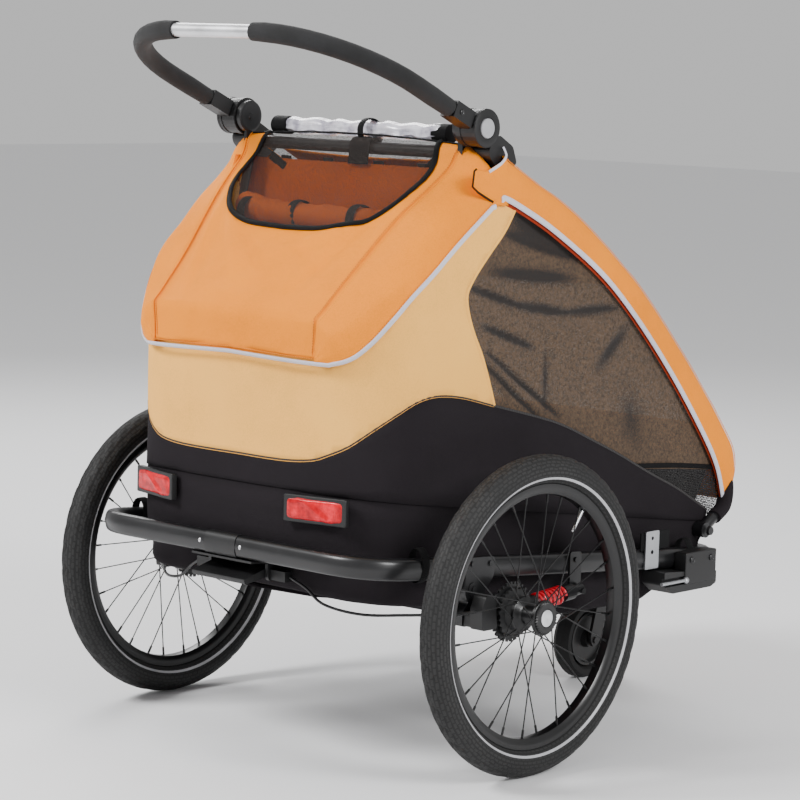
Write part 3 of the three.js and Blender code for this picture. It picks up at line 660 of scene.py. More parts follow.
class Plan:
    """A plan outline: distance s runs from the middle of the bowed rear round to each side.

    The rear wall falls away with the fourth power of x up to the corner, which is a true arc.
    """

    def __init__(self, half, rear, reach):
        self.half, self.rear = half, rear
        self.fall = math.tan(WALL_TURN) / (4 * reach**3)
        radius = (half - reach) / (1 - math.sin(WALL_TURN))
        self.side_y = self.rear_y(reach) - radius * math.cos(WALL_TURN)
        bow = [reach * i / CORNER_STEPS for i in range(CORNER_STEPS)]
        ring = [(x, self.rear_y(x)) for x in bow]
        for i in range(CORNER_STEPS + 1):
            turn = WALL_TURN + (math.pi / 2 - WALL_TURN) * i / CORNER_STEPS
            x = half - radius + radius * math.sin(turn)
            ring.append((x, self.side_y + radius * math.cos(turn)))
        self.ring = [(0.0, ring[0])]
        for a, b in zip(ring, ring[1:]):
            self.ring.append((self.ring[-1][0] + math.dist(a, b), b))
        self.turn = self.ring[-1][0]

    def rear_y(self, x):
        return self.rear - self.fall * x**4

    def at(self, s, off=0.0):
        """The point (x, y) and how far the wall there has turned from rear (0) to side (1)."""
        side = -1 if s < 0 else 1
        a = abs(s)
        if a >= self.turn:
            return side * (self.half + off), self.side_y - (a - self.turn), 1.0
        for (low, p), (high, q) in zip(self.ring, self.ring[1:]):
            if a <= high:
                break
        share = (a - low) / (high - low)
        outward = Vector((q[1] - p[1], p[0] - q[0])).normalized() * -1
        x = p[0] + (q[0] - p[0]) * share + outward.x * off
        y = p[1] + (q[1] - p[1]) * share + outward.y * off
        return side * x, y, outward.x

    def s_at(self, y):
        return self.turn + (self.side_y - y)


BODY = Plan(HALF, 0.2585, 0.175)
LID = Plan(0.290, 0.273, 0.172)


def shelf(y):
    return SHELF_REAR_Z + (y - SHELF_REAR_Y) * SHELF_SLOPE


# Height of the black cloth's upper border at a distance s round the cabin.
BORDER = [(0.0, 0.480), (0.0735, 0.480), (0.1235, 0.481), (0.167, 0.486), (0.192, 0.495),
          (0.224, 0.510), (0.259, 0.535), (0.298, 0.561), (0.3315, 0.579), (0.370, 0.585),
          (0.4275, 0.579), (0.5025, 0.561), (0.6075, 0.536), (0.6825, 0.514), (0.8165, 0.460),
          (0.8915, 0.426), (0.9825, 0.387), (1.0775, 0.338)]
# Height of the flap's silver piping at a distance s round the flap.
LID_EDGE = [(0.0, 0.640), (0.1785, 0.635), (0.2035, 0.636), (0.235, 0.646), (0.265, 0.671),
            (0.298, 0.708), (0.3365, 0.750), (0.4135, 0.813), (0.4955, 0.872)]
# Side views (y, z): the hood's top line and its piping from the rear, the window's rear edge.
ROOF_LINE = [(-0.053, 0.938), (-0.127, 0.900), (-0.186, 0.872), (-0.282, 0.811), (-0.409, 0.713),
             (-0.550, 0.575), (-0.649, 0.465), (-0.672, 0.425), (-0.668, 0.388), (-0.640, 0.356)]
PIPING_LINE = [(-0.030, 0.883), (-0.068, 0.869), (-0.154, 0.829), (-0.274, 0.759), (-0.368, 0.684),
               (-0.467, 0.588), (-0.556, 0.488), (-0.606, 0.421), (-0.628, 0.366), (-0.629, 0.352)]
WINDOW_REAR = [(-0.063, 0.868), (-0.037, 0.832), (0.0, 0.795), (0.035, 0.757), (0.047, 0.730),
               (0.032, 0.683), (0.003, 0.632), (-0.025, 0.562)]

def eased(table):
    """A smooth curve through a table of (place, value) pairs, as a finer table."""
    return [(p.x, p.y) for p in smooth_line([(a, b, 0) for a, b in table], 8)]


BORDER_CURVE = eased(BORDER)
LID_EDGE_CURVE = eased(LID_EDGE)


def border(s):
    return along_table(BORDER_CURVE, abs(s))


def lid_edge(s):
    return along_table(LID_EDGE_CURVE, abs(s))


def flutter(*values):
    """A small smooth ripple for cloth, the same every time."""
    a, b = values
    return math.sin(a * 23 + 1.3) * math.cos(b * 31 - 0.4) * 0.5 + math.sin(a * 51 + b * 37) * 0.25


def body_distance(s):
    """The distance round the body at the place straight inside a distance round the flap."""
    x, y, _ = LID.at(s)
    return min((i * 0.001 for i in range(700)), key=lambda d: math.dist(BODY.at(d)[:2], (x, y)))


def body_point(s, z, off=0.0):
    x, y, _ = BODY.at(s, off + 0.0018 * flutter(s, z))
    return (x, y, z)


# ---------- the tub and cabin sides ----------

# Height of the tub's underside along the trailer, as (y, z).
UNDERSIDE = [(-0.600, 0.330), (-0.566, 0.285), (-0.552, 0.250), (-0.42, 0.201), (-0.08, 0.206),
             (0.0, 0.236), (0.09, 0.257), (0.204, 0.266), (0.30, 0.268)]
TUCK = 0.045  # how far the rear wall steps in behind the bumper


def round_cabin(front, columns):
    """Distances round the cabin, from one side's front round the rear to the other's."""
    return spread(BODY.s_at(front), columns)


def tub_cloth():
    """Black cloth up to the tub's rigid top edge, tucked in at the rear and carried underneath."""
    distances = round_cabin(FRONT, 150)

    def wall(s, z):
        x, y, sideways = BODY.at(s, 0.0015 * flutter(s, z))
        step = TUCK * (1 - between(z, 0.318, 0.345))
        return (x * (1 - 0.02 * (step / TUCK) * (1 - sideways)), y - step * (1 - sideways), z)

    rows = []
    low = [along_table(UNDERSIDE, BODY.at(s)[1] - TUCK * (1 - BODY.at(s)[2])) for s in distances]
    top = [shelf(BODY.at(s)[1]) for s in distances]
    for share in [0, 0.2, 0.4, 0.5, 0.56, 0.62, 0.68, 0.74, 0.8, 0.86, 0.92]:
        rows.append([wall(s, t + (b - t) * share) for s, t, b in zip(distances, top, low)])
    for inward, share in [(0.004, 0.965), (0.012, 0.99), (0.03, 1.0)]:
        row = []
        for s, t, b in zip(distances, top, low):
            x, y, _ = wall(s, t + (b - t) * 0.92)
            keep = 1 - inward / HALF
            row.append((x * keep, y - inward * (1 - BODY.at(s)[2]), t + (b - t) * share))
        rows.append(row)
    edge = rows[-1]
    for share in (0.7, 0.4, 0.1, 0.0):
        sag = 0.004 * (1 - share)
        rows.append([(x * share, y, along_table(UNDERSIDE, y) - sag) for x, y, _ in edge])
    tub = thicken(grid("tub_cloth", rows, "black", "chassis"), TUB_CLOTH)
    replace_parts(tub, "tub_shell")
    nose = [(FRONT, shelf(FRONT)), (-0.572, 0.292), (-0.556, 0.252)]
    front = [[(x / 10 * HALF, y, z) for x in range(-10, 11)] for y, z in nose]
    thicken(grid("tub_front", front, "black", "chassis"), TUB_CLOTH)


def upper_black():
    """Black cloth from the tub's top edge up to its curved border, with a sewn edge."""
    distances = round_cabin(-0.590, 170)
    rows = []
    for share in [0, 0.15, 0.3, 0.5, 0.7, 0.85, 1]:
        row = []
        for s in distances:
            low = shelf(BODY.at(s)[1]) - 0.002
            row.append(body_point(s, low + (border(s) - low) * share))
        rows.append(row)
    fold_flat(thicken(grid("side_black_cloth", rows, "black", "chassis"), SIDE_CLOTH))
    line = [body_point(s, border(s), 0.0012) for s in distances]
    ribbon("black_border_seam", line, 0.0022, 0.0012, "thread_black")


def peach_cloth():
    """The pale panel runs round the back, under the flap, to the edges of both side windows."""
    outline = [(s, border(s) - 0.002) for s in round_cabin(-0.025, 90)]
    rear_edge = smooth_line([(y, z, 0) for y, z in reversed(WINDOW_REAR)], 4)
    left_up = [(BODY.s_at(p.x), p.y) for p in rear_edge[1:]]
    hidden_top = [(BODY.s_at(-0.035), 0.892), (BODY.s_at(-0.001), 0.878)]
    for i in range(16):
        s = 0.48 - 0.02 * i
        hidden_top.append((body_distance(s), lid_edge(s) + 0.0045))
    hidden_top += [(0.14, 0.655), (0.10, 0.655)]
    outline += left_up + hidden_top
    outline += [(-s, z) for s, z in reversed(left_up + hidden_top)]
    panel = patch("peach_panel", outline, lambda s, z: body_point(s, z, 0.0006), "peach")
    fold_flat(thicken(panel, LINING))
    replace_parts(panel, "rear_panel", "side_panel_right", "side_panel_left")
    for name, side in SIDES:
        line = [body_point(side * BODY.s_at(p.x), p.y, 0.0016) for p in rear_edge]
        ribbon(f"window_binding_{name}", line, 0.0030, 0.0012, "peach")


# Where the side nets hang in folds, each painted darker as shade: from, to, width and depth of each, in the
# side view.
NET_FOLDS = [
    ((-0.045, 0.828), (-0.236, 0.782), 0.008, 0.0065),
    ((-0.013, 0.769), (-0.220, 0.750), 0.010, 0.0055),
    ((0.029, 0.746), (-0.085, 0.714), 0.005, 0.0090),
    ((-0.085, 0.714), (-0.200, 0.697), 0.006, 0.0090),
    ((-0.200, 0.697), (-0.333, 0.699), 0.006, 0.0070),
    ((0.000, 0.686), (-0.124, 0.645), 0.005, 0.0080),
    ((-0.010, 0.646), (-0.194, 0.530), 0.0035, 0.0095),
    ((-0.004, 0.628), (-0.150, 0.527), 0.0035, 0.0085),
    ((-0.155, 0.643), (-0.156, 0.544), 0.006, 0.0035),
    ((-0.364, 0.668), (-0.282, 0.600), 0.012, 0.0040),
    ((-0.054, 0.855), (-0.200, 0.812), 0.020, 0.0050),
    ((-0.360, 0.560), (-0.400, 0.470), 0.025, 0.0025),
]
NET_INSET = 0.004  # how far the nets hang inside the cabin's sides


def side_nets():
    """Side windows: dark net with slanting creases painted darker as shade, and a darker corner at the
    front.
    """

    def surface(side):
        def at(y, z):
            crease = 0.5 * ridges(y, z, NET_FOLDS)
            return (side * (HALF - NET_INSET - crease + 0.002 * flutter(y, z)), y, z)
        return at

    # How deep the net is folded here, which sets the painted shade along its creases.
    def fold_shade(y, z):
        return min(1.0, ridges(y, z, NET_FOLDS) / 0.006)

    def under_border(y):
        return (y, border(BODY.s_at(y)) - 0.006)

    rear_edge = smooth_line([(y + 0.006, z, 0) for y, z in WINDOW_REAR], 4)
    front = smooth_line([(y, z, 0) for y, z in PIPING_LINE[1:]], 4)
    outline = [(p.x, p.y) for p in rear_edge]
    outline += [under_border(-0.03 - 0.03 * i) for i in range(12)]
    outline += [(-0.38, 0.430), (-0.50, 0.420), (-0.600, 0.410)]
    outline += [(p.x - 0.004, p.y + 0.006) for p in reversed(front) if p.y > 0.418]
    hem = [(-0.365, 0.436), (-0.50, 0.426), (-0.606, 0.414)]
    corner_outline = hem + [(p.x - 0.004, p.y + 0.004) for p in front if p.y < 0.412]
    corner_outline += [under_border(y) for y in (-0.60, -0.55, -0.50, -0.45, -0.40)]
    strap = [(0.03, 0.66), (-0.06, 0.585), (-0.17, 0.50), (-0.24, 0.45)]
    for name, side in SIDES:
        net = patch(f"side_net_{name}", outline, surface(side), "net", 0.006, fold_shade)
        fold_flat(net)
        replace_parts(net, f"side_window_{name}")
        fold_flat(patch(f"side_film_{name}", corner_outline, surface(side), "window", 0.015))
        hem_line = smooth_line([(side * (HALF - 0.002), y, z) for y, z in hem], 6)
        ribbon(f"net_hem_{name}", hem_line, 0.004, 0.001)
        strap_line = smooth_line([(side * (HALF - 0.012), y, z) for y, z in strap], 6)
        ribbon(f"inner_side_strap_{name}", strap_line, 0.006, 0.001)


# ---------- the rear flap and its window ----------

# The flap's side view as (y, z): the top of its slope and the fold where its hem turns down.
LID_TOP = (0.024, 0.930)
LID_FOLD = (0.268, 0.700)
LID_START = -0.039  # the flap starts this far up the slope from LID_TOP
SLOPE_LENGTH = math.dist(LID_TOP, LID_FOLD)
HEM_LENGTH = LID_FOLD[1] - 0.640
LID_LENGTH = SLOPE_LENGTH + HEM_LENGTH
FOLD_REACH = 0.007  # the fold's rounding reaches this far up the slope and down the hem
# Soft wrinkles in the flap: each runs from one place to another and has a width and a height.
LID_WRINKLES = [
    ((0.17, 0.12), (0.02, 0.30), 0.012, 0.0030), ((0.10, 0.17), (-0.02, 0.28), 0.010, -0.0028),
    ((-0.13, 0.15), (-0.02, 0.22), 0.009, 0.0026), ((-0.16, 0.10), (-0.10, 0.30), 0.012, -0.0030),
    ((0.20, 0.05), (0.15, 0.28), 0.012, 0.0030), ((0.05, 0.19), (-0.10, 0.31), 0.011, 0.0024),
    ((-0.03, 0.19), (-0.14, 0.25), 0.008, -0.0022), ((0.15, 0.20), (0.11, 0.31), 0.010, -0.0026),
    ((-0.20, 0.03), (-0.18, 0.22), 0.010, 0.0026), ((0.06, 0.30), (-0.06, 0.325), 0.012, 0.0022),
]


def lid_slope(along, lift=0.0):
    """A point (y, z) some way down the flap's sloping face, lifted off it."""
    dy, dz = LID_FOLD[0] - LID_TOP[0], LID_FOLD[1] - LID_TOP[1]
    y = LID_TOP[0] + (along * dy - lift * dz) / SLOPE_LENGTH
    return y, LID_TOP[1] + (along * dz + lift * dy) / SLOPE_LENGTH


def ridges(u, v, wrinkles):
    """The height of soft wrinkles at (u, v), each fading towards its ends."""
    height = 0.0
    spot = Vector((u, v))
    for start, end, width, size in wrinkles:
        start, run = Vector(start), Vector(end) - Vector(start)
        share = clamp((spot - start).dot(run) / run.length_squared)
        away = (spot - start - run * share).length / width
        height += 1.5 * size * math.exp(-away * away) * (0.3 + 0.7 * math.sin(math.pi * share))
    return height


def lid_surface(x, v):
    """The flap's face: over the cross tube, down the slope, sharply over the fold, down the hem."""
    crown = 0.010 * (1 - (x / 0.215) ** 2)
    if v <= SLOPE_LENGTH - FOLD_REACH:
        over_tube = 0.0125 * math.exp(-(((v + 0.029) / 0.022) ** 2))
        hollow = 0.006 * math.sin(math.pi * clamp(v / SLOPE_LENGTH))
        loose = ridges(x, v, LID_WRINKLES) + 0.002 * flutter(x * 0.8, v)
        y, z = lid_slope(v, crown + over_tube + hollow + loose * between(v, 0.0, 0.06))
        return (x, y - LID.fall * x**4 * between(v, 0.03, SLOPE_LENGTH), z)
    if v >= SLOPE_LENGTH + FOLD_REACH:
        drop = v - SLOPE_LENGTH
        down = drop / HEM_LENGTH
        wave = 0.0012 * math.sin(x * 60 + 1) * between(drop, 0.0, 0.05) - 0.004 * down * (1 - down)
        return (x, LID.rear_y(x) + 0.0015 + wave + crown * 0.3 * (1 - down), LID_FOLD[1] - drop)
    share = (v - SLOPE_LENGTH + FOLD_REACH) / (2 * FOLD_REACH)
    before = Vector(lid_surface(x, SLOPE_LENGTH - FOLD_REACH))
    after = Vector(lid_surface(x, SLOPE_LENGTH + FOLD_REACH))
    middle = Vector((x, after.y + 0.002, before.z - 0.002))
    return tuple(before * (1 - share) ** 2 + middle * 2 * share * (1 - share) + after * share**2)


# Half of the window's outline on the flap, as (x, distance down).
WINDOW_EDGE = [(0.186, LID_START), (0.194, 0.0), (0.196, 0.04), (0.191, 0.07), (0.180, 0.097),
               (0.158, 0.127), (0.126, 0.149), (0.072, 0.165), (0.0, 0.170)]
# The flap's corner seam, as (distance down, half width).
LID_SEAM = [(LID_START, 0.236), (0.0, 0.229), (0.06, 0.2198), (0.1477, 0.2020), (0.2415, 0.1885),
            (0.3353, 0.1795), (0.40, 0.1760)]


def rear_flap():
    """Orange flap: sloping face with a window, rounded skirts and seams."""
    right_half = smooth_line([(x, v, 0) for x, v in WINDOW_EDGE], 6)
    window = [(p.x, p.y) for p in right_half] + [(-p.x, p.y) for p in reversed(right_half[:-1])]
    seam = [seam_at(i / 60) for i in range(61)]
    outline = [(-x, v) for x, v in seam] + [(x, v) for x, v in reversed(seam)] + window
    face = patch("rear_flap", outline, lid_surface, "orange", 0.0075)
    fold_flat(thicken(face, CANVAS))
    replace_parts(face, "rear_flap")
    for name, side in SIDES:
        skirt(name, side, seam)
    line = [Vector(lid_surface(x, v)) + Vector((0, 0.001, 0.0015)) for x, v in window]
    ribbon("rear_window_binding", line, 0.0022, 0.0048, sides=10, up=(0, 0.6, 0.8))
    top_edge = [lid_surface(x, LID_START) for x in spread(0.238, 40)]
    ribbon("flap_top_binding", top_edge, 0.0016, 0.0030, sides=10)
    net = fold_flat(patch("rear_net", window, lid_inner, "rear_net", 0.009))
    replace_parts(net, "rear_window")


def lid_inner(x, v):
    """The window's net hangs a little inside the flap's face, except over the cross tube."""
    y, z = Vector(lid_surface(x, v)).yz
    dip = 0.008 * math.sin(math.pi * clamp((v - 0.01) / 0.16)) * (1 - (x / 0.2) ** 2)
    return (x, y - 0.0006 - 0.6 * dip, z - 0.0006 - 0.8 * dip)


def seam_at(share):
    """The corner seam in the flap's flat pattern: (half width, distance down)."""
    v = LID_START + (LID_LENGTH - LID_START) * share
    return along_table(eased(LID_SEAM), v), v


def skirt(name, side, seam):
    """The flap's side: from the corner seam over a rounded edge down to the silver piping."""
    first_s, last_s = 0.530, 0.1765
    columns = 16
    outwards = Vector((side * 0.75, 0.45, 0.5)).normalized()
    proud = Vector((side * 0.0004, 0.0008, 0.0010))
    rows = []
    for i, (x, v) in enumerate(seam):
        share = i / (len(seam) - 1)
        start = Vector(lid_surface(side * x, v))
        s = first_s + (last_s - first_s) * share
        ex, ey, _ = LID.at(side * s, 0.001)
        end = Vector((ex, ey, lid_edge(s)))
        span = (end - start).length
        row = []
        for j in range(columns + 1):
            t = j / columns
            arch = math.sin(math.pi * t)
            loose = 0.0026 * math.sin(9 * share + 4 * t + side) * math.sin(13 * share * t + 2) * arch
            lift = 0.17 * span * arch + loose * between(share, 0.05, 0.3)
            row.append(tuple(start.lerp(end, t) + outwards * lift))
        rows.append(row)
    fold_flat(thicken(grid(f"flap_skirt_{name}", rows, "orange", "chassis"), CANVAS, outer_face(side)))
    ribbon(f"flap_seam_{name}", [Vector(row[0]) + proud for row in rows], 0.0014, 0.0010, "orange")
    for index, inward in enumerate((-0.006, 0.007)):
        stitches = []
        for row, (x, v) in zip(rows[:-1], seam[:-1]):
            if inward < 0:
                spot = Vector(lid_surface(side * (x + inward), v))
            else:
                share = min(1.0, inward / max(math.dist(row[0], row[1]), 0.004))
                spot = Vector(row[0]).lerp(Vector(row[1]), share)
            stitches.append(spot + proud)
        ribbon(f"flap_stitching_{index}_{name}", stitches, 0.0006, 0.0005, "thread_orange", 6)


def flap_piping():
    """Silver piping round the flap's lower edge, with stitches above it."""
    distances = spread(0.500, 150)
    line = [(*LID.at(s, 0.0022)[:2], lid_edge(s) - 0.001) for s in distances]
    stitch = [(*LID.at(s, 0.0030)[:2], lid_edge(s) + 0.0065) for s in distances]
    ribbon("flap_piping", line, 0.0042, 0.0022, "piping", 10)
    ribbon("flap_hem_stitching", stitch, 0.0005, 0.0005, "thread_orange", 6)


# ---------- the hood ----------

# The hood's tab behind each neck: pairs of (y, z) on its upper and lower edge, from the rear.
HOOD_TAB = [((0.044, 0.927), (0.048, 0.902)), ((0.029, 0.926), (0.034, 0.893)),
            ((0.012, 0.924), (0.016, 0.885)), ((-0.009, 0.932), (-0.001, 0.878)),
            ((-0.022, 0.938), (-0.012, 0.881))]
LEFT_TUCK = 0.060  # how far the left tab's end is pulled in behind the flap


def hood_pairs():
    """Pairs of points along the hood's upper edge and its piping."""
    upper = [a for a, _ in HOOD_TAB] + [(-0.034, 0.947)] + ROOF_LINE
    lower = [b for _, b in HOOD_TAB] + [(-0.024, 0.881)] + PIPING_LINE
    steps = 6
    upper = smooth_line([(y, z, 0) for y, z in upper], steps)
    lower = smooth_line([(y, z, 0) for y, z in lower], steps)
    return upper, lower, len(HOOD_TAB) * steps


def hood():
    """One curved sheet over the front hoop: sides down to the piping, roof, and turned nose."""
    roof, piping, tab = hood_pairs()
    edge = HALF + 0.0055
    rows = []
    for i, (top, low) in enumerate(zip(roof, piping)):
        lap = between(i, tab - 3, tab + 5)
        row = []
        for t, x in [(0, -0.001), (0.35, 0.002), (0.72, 0.0), (0.93, -0.006 * lap)]:
            row.append(Vector((edge + x, *low.xy.lerp(top.xy, t))))
        row.append(Vector((edge - 0.018 * lap, top.x, top.y)))
        row.append(Vector((edge - 0.001 - 0.033 * lap, *top.xy.lerp(low.xy, 0.02 * lap))))
        row.append(Vector((edge - 0.002 - 0.050 * lap, *top.xy.lerp(low.xy, 0.10 * lap))))
        rows.append(row)
    for name, side in SIDES:
        shaped = []
        for i, row in enumerate(rows):
            loose = [0.0016 * flutter(p.y, p.z) + ridges(p.y, p.z, HOOD_WRINKLES) for p in row]
            drawn = LEFT_TUCK * (1 - between(i, 0, tab + 4)) if side > 0 else 0.0
            shaped.append([(side * (p.x + h - drawn), p.y, p.z) for p, h in zip(row, loose)])
        refine(thicken(grid(f"hood_side_{name}", shaped, "orange", "hoop"), CANVAS, outer_face(side)))
        low_edge = piping[tab - 2:]
        line = [Vector((side * (edge + 0.0012), p.x, p.y)) for p in low_edge]
        sweep(f"hood_piping_{name}", line, ellipse(0.0048, 0.0022, 10), "piping", "hoop")
        inner = [Vector((side * (edge - 0.0035), p.x - 0.002, p.y - 0.006)) for p in low_edge]
        sweep(f"hood_lining_edge_{name}", inner, ellipse(0.0042, 0.0014, 8), "seat", "hoop")
        seam = [Vector(row[3]) + Vector((side * 0.001, -0.001, 0.001)) for row in shaped[tab:]]
        sweep(f"hood_seam_{name}", seam, ellipse(0.0007, 0.0006, 6), "thread_orange", "hoop")
        if side < 0:
            neck_opening(name, side, edge)
    sheet_rows = []
    for p in roof[tab + 6:tab + 30]:
        half = 0.214 if p.x > -0.128 else 0.236
        row = []
        for i in range(41):
            share = i / 20 - 1
            dip = 0.006 * (1 - share**2)
            row.append((half * share, p.x + dip * 0.5, p.y - dip - 0.001))
        sheet_rows.append(row)
    roof_piece = thicken(grid("hood_roof", sheet_rows, "orange", "hoop"), CANVAS)
    nose_rows = [[(x, p.x, p.y + 0.001) for x in spread(0.240, 40)] for p in roof[-20:]]
    thicken(grid("hood_nose", nose_rows, "orange", "hoop"), CANVAS)
    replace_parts(roof_piece, "hood")


# Short gathers across the hood's sides, in the side view.
HOOD_WRINKLES = [
    ((-0.06, 0.93), (-0.075, 0.88), 0.007, 0.0022), ((-0.12, 0.90), (-0.135, 0.85), 0.009, -0.0022),
    ((-0.20, 0.862), (-0.215, 0.81), 0.008, 0.0020), ((-0.28, 0.805), (-0.262, 0.772), 0.008, -0.0020),
    ((-0.36, 0.750), (-0.345, 0.712), 0.009, 0.0022), ((-0.46, 0.662), (-0.430, 0.630), 0.008, -0.0020),
    ((-0.55, 0.570), (-0.520, 0.535), 0.009, 0.0020), ((-0.62, 0.49), (-0.585, 0.46), 0.009, -0.0020),
]


def neck_opening(name, side, edge):
    """Silver trim round the handle's neck and the black zigzag edge behind it."""
    x = edge + 0.0014
    trim = [(side * x, y, z) for y, z in [(0.010, 0.9245), (-0.009, 0.9325), (-0.021, 0.9390)]]
    trim += [(side * (x - 0.001), -0.030, 0.949), (side * (x - 0.006), -0.028, 0.962)]
    sweep(f"neck_trim_{name}", smooth_line(trim, 6), ellipse(0.0026, 0.0013, 8), "piping", "hoop")
    zigzag = [(0.040, 0.929), (0.045, 0.926), (0.048, 0.902), (0.034, 0.893), (0.016, 0.885),
              (-0.001, 0.878)]
    line = [(side * x, y, z) for y, z in zigzag]
    sweep(f"tab_edge_{name}", line, ellipse(0.0017, 0.0012, 8), "webbing", "hoop")


def front_cloth():
    """Black cloth between the tub's front edge and the hood's nose."""
    rows = [[(x, y + 0.003 * flutter(i / 8, z), z) for i, x in enumerate(spread(0.250, 30))]
            for y, z in [(-0.596, 0.338), (-0.612, 0.362), (-0.632, 0.392), (-0.648, 0.424)]]
    fold_flat(thicken(grid("front_cloth", rows, "black", "chassis"), LINING))


def foot_sleeves():
    """Black cloth round the hoop's feet, down to its hinges."""
    route = [(0.272, -0.652, 0.392), (0.281, -0.650, 0.376), (0.293, -0.629, 0.347),
             (0.2965, -0.598, 0.330)]
    for name, side in SIDES:
        line = smooth_line(mirrored(route, side), 6)
        sweep(f"foot_sleeve_{name}", line, ellipse(0.0150, 0.0125, 18), "black", "hoop")


# ---------- inside the cabin ----------

SEAT_HALF = 0.212


def cushion(name, points, thickness, look, seams=3):
    """A crowned pad that follows a side-view line, pulled in along its edges and sewn channels."""
    line = smooth_line([(0, y, z) for y, z in points], 8)
    count = len(line)
    columns = 36
    front = []
    back = []
    for i, point in enumerate(line):
        before, after = line[max(i - 1, 0)], line[min(i + 1, count - 1)]
        along = (after - before).normalized()
        normal = along.cross(Vector((1, 0, 0)))
        v = i / (count - 1)
        row_front = []
        row_back = []
        for j in range(columns + 1):
            u = j / columns
            x = (u - 0.5) * 2 * SEAT_HALF
            fill = (1 - abs(2 * u - 1) ** 6) ** 0.5 * (1 - abs(2 * v - 1) ** 6) ** 0.5
            channel = min(abs(v * seams - round(v * seams)) * 5, 1.0)
            middle = min(abs(u - 0.5) * 14, 1.0)
            puff = thickness * fill * (0.62 + 0.38 * channel ** 0.5) * (0.7 + 0.3 * middle ** 0.5)
            drawn_in = Vector((x * (1 - 0.03 * (1 - fill)), point.y, point.z))
            row_front.append(tuple(drawn_in + normal * puff))
            row_back.append(tuple(Vector((x, point.y, point.z)) - normal * thickness * 0.25 * fill))
        front.append(row_front)
        back.append(row_back)
    pad = joined(name, [grid(name, front, look, "chassis"), grid(name + "_back", back, look, "chassis")])
    return pad


def interior():
    """The seat's pads, harness belts, the rolled sun cover and the straps under the flap."""
    seat_line = [(-0.282, 0.366), (-0.24, 0.372), (-0.14, 0.368), (-0.03, 0.364)]
    seat = cushion("seat_pad", seat_line, 0.030, "black")
    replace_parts(seat, "seat_cushion")
    back_line = [(0.002, 0.80), (-0.004, 0.70), (-0.010, 0.55), (-0.014, 0.405)]
    back = cushion("seat_back_pad", back_line, 0.024, "seat", seams=4)
    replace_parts(fold_flat(back), "seat_back")
    heights = [(0.014, 0.925), (0.028, 0.86), (0.030, 0.80), (0.034, 0.70), (0.030, 0.55), (0.024, 0.42)]
    rows = [[(x, y + 0.006 * flutter(i / 9, z), z) for i, x in enumerate(spread(0.215, 30))]
            for y, z in heights]
    fold_flat(thicken(grid("seat_back_cloth", rows, "inner", "chassis"), LINING))
    belt = [(1.0, 0.005, 0.93), (1.02, -0.022, 0.80), (1.0, -0.045, 0.62), (0.9, -0.07, 0.46),
            (0.8, -0.12, 0.405)]
    for index, x in enumerate([-0.15, -0.055, 0.055, 0.15]):
        line = smooth_line([(x * share, y, z) for share, y, z in belt], 8)
        ribbon(f"harness_belt_{index}", line, 0.0009, 0.012, sides=10, up=(0, 1, 0.2))
    line = smooth_line([(-0.15, 0.080, 0.838), (-0.09, 0.089, 0.839), (0.02, 0.091, 0.840),
                        (0.10, 0.088, 0.842), (0.17, 0.074, 0.851)], 10)
    ribbon("rolled_cover", line, 0.021, 0.021, "inner", 14,
           scale=lambda t: 1 + 0.07 * math.sin(t * 37) + 0.05 * math.sin(t * 83))
    for index, x in enumerate([-0.095, 0.035, 0.145]):
        ring = [(x, 0.088 + 0.0235 * math.cos(a), 0.841 + 0.0235 * math.sin(a)) for a in angles(24)]
        ribbon(f"roll_strap_{index}", ring, 0.009, 0.0012, sides=10, up=(1, 0, 0), closed=True)
    crossing = [((0.17, 0.02, 0.93), (-0.06, -0.03, 0.80)), ((-0.17, 0.0, 0.935), (0.02, -0.03, 0.80))]
    for index, (a, b) in enumerate(crossing):
        slack = (Vector(a) + Vector(b)) / 2 + Vector((0, 0.004, -0.012))
        ribbon(f"cross_strap_{index}", smooth_line([a, slack, b], 8), 0.0009, 0.008, sides=10,
               up=(0, 1, 0))


# ---------- the rain cover's roll ----------

CROSS_TUBE_Y = 0.003
CROSS_TUBE_Z = 0.950

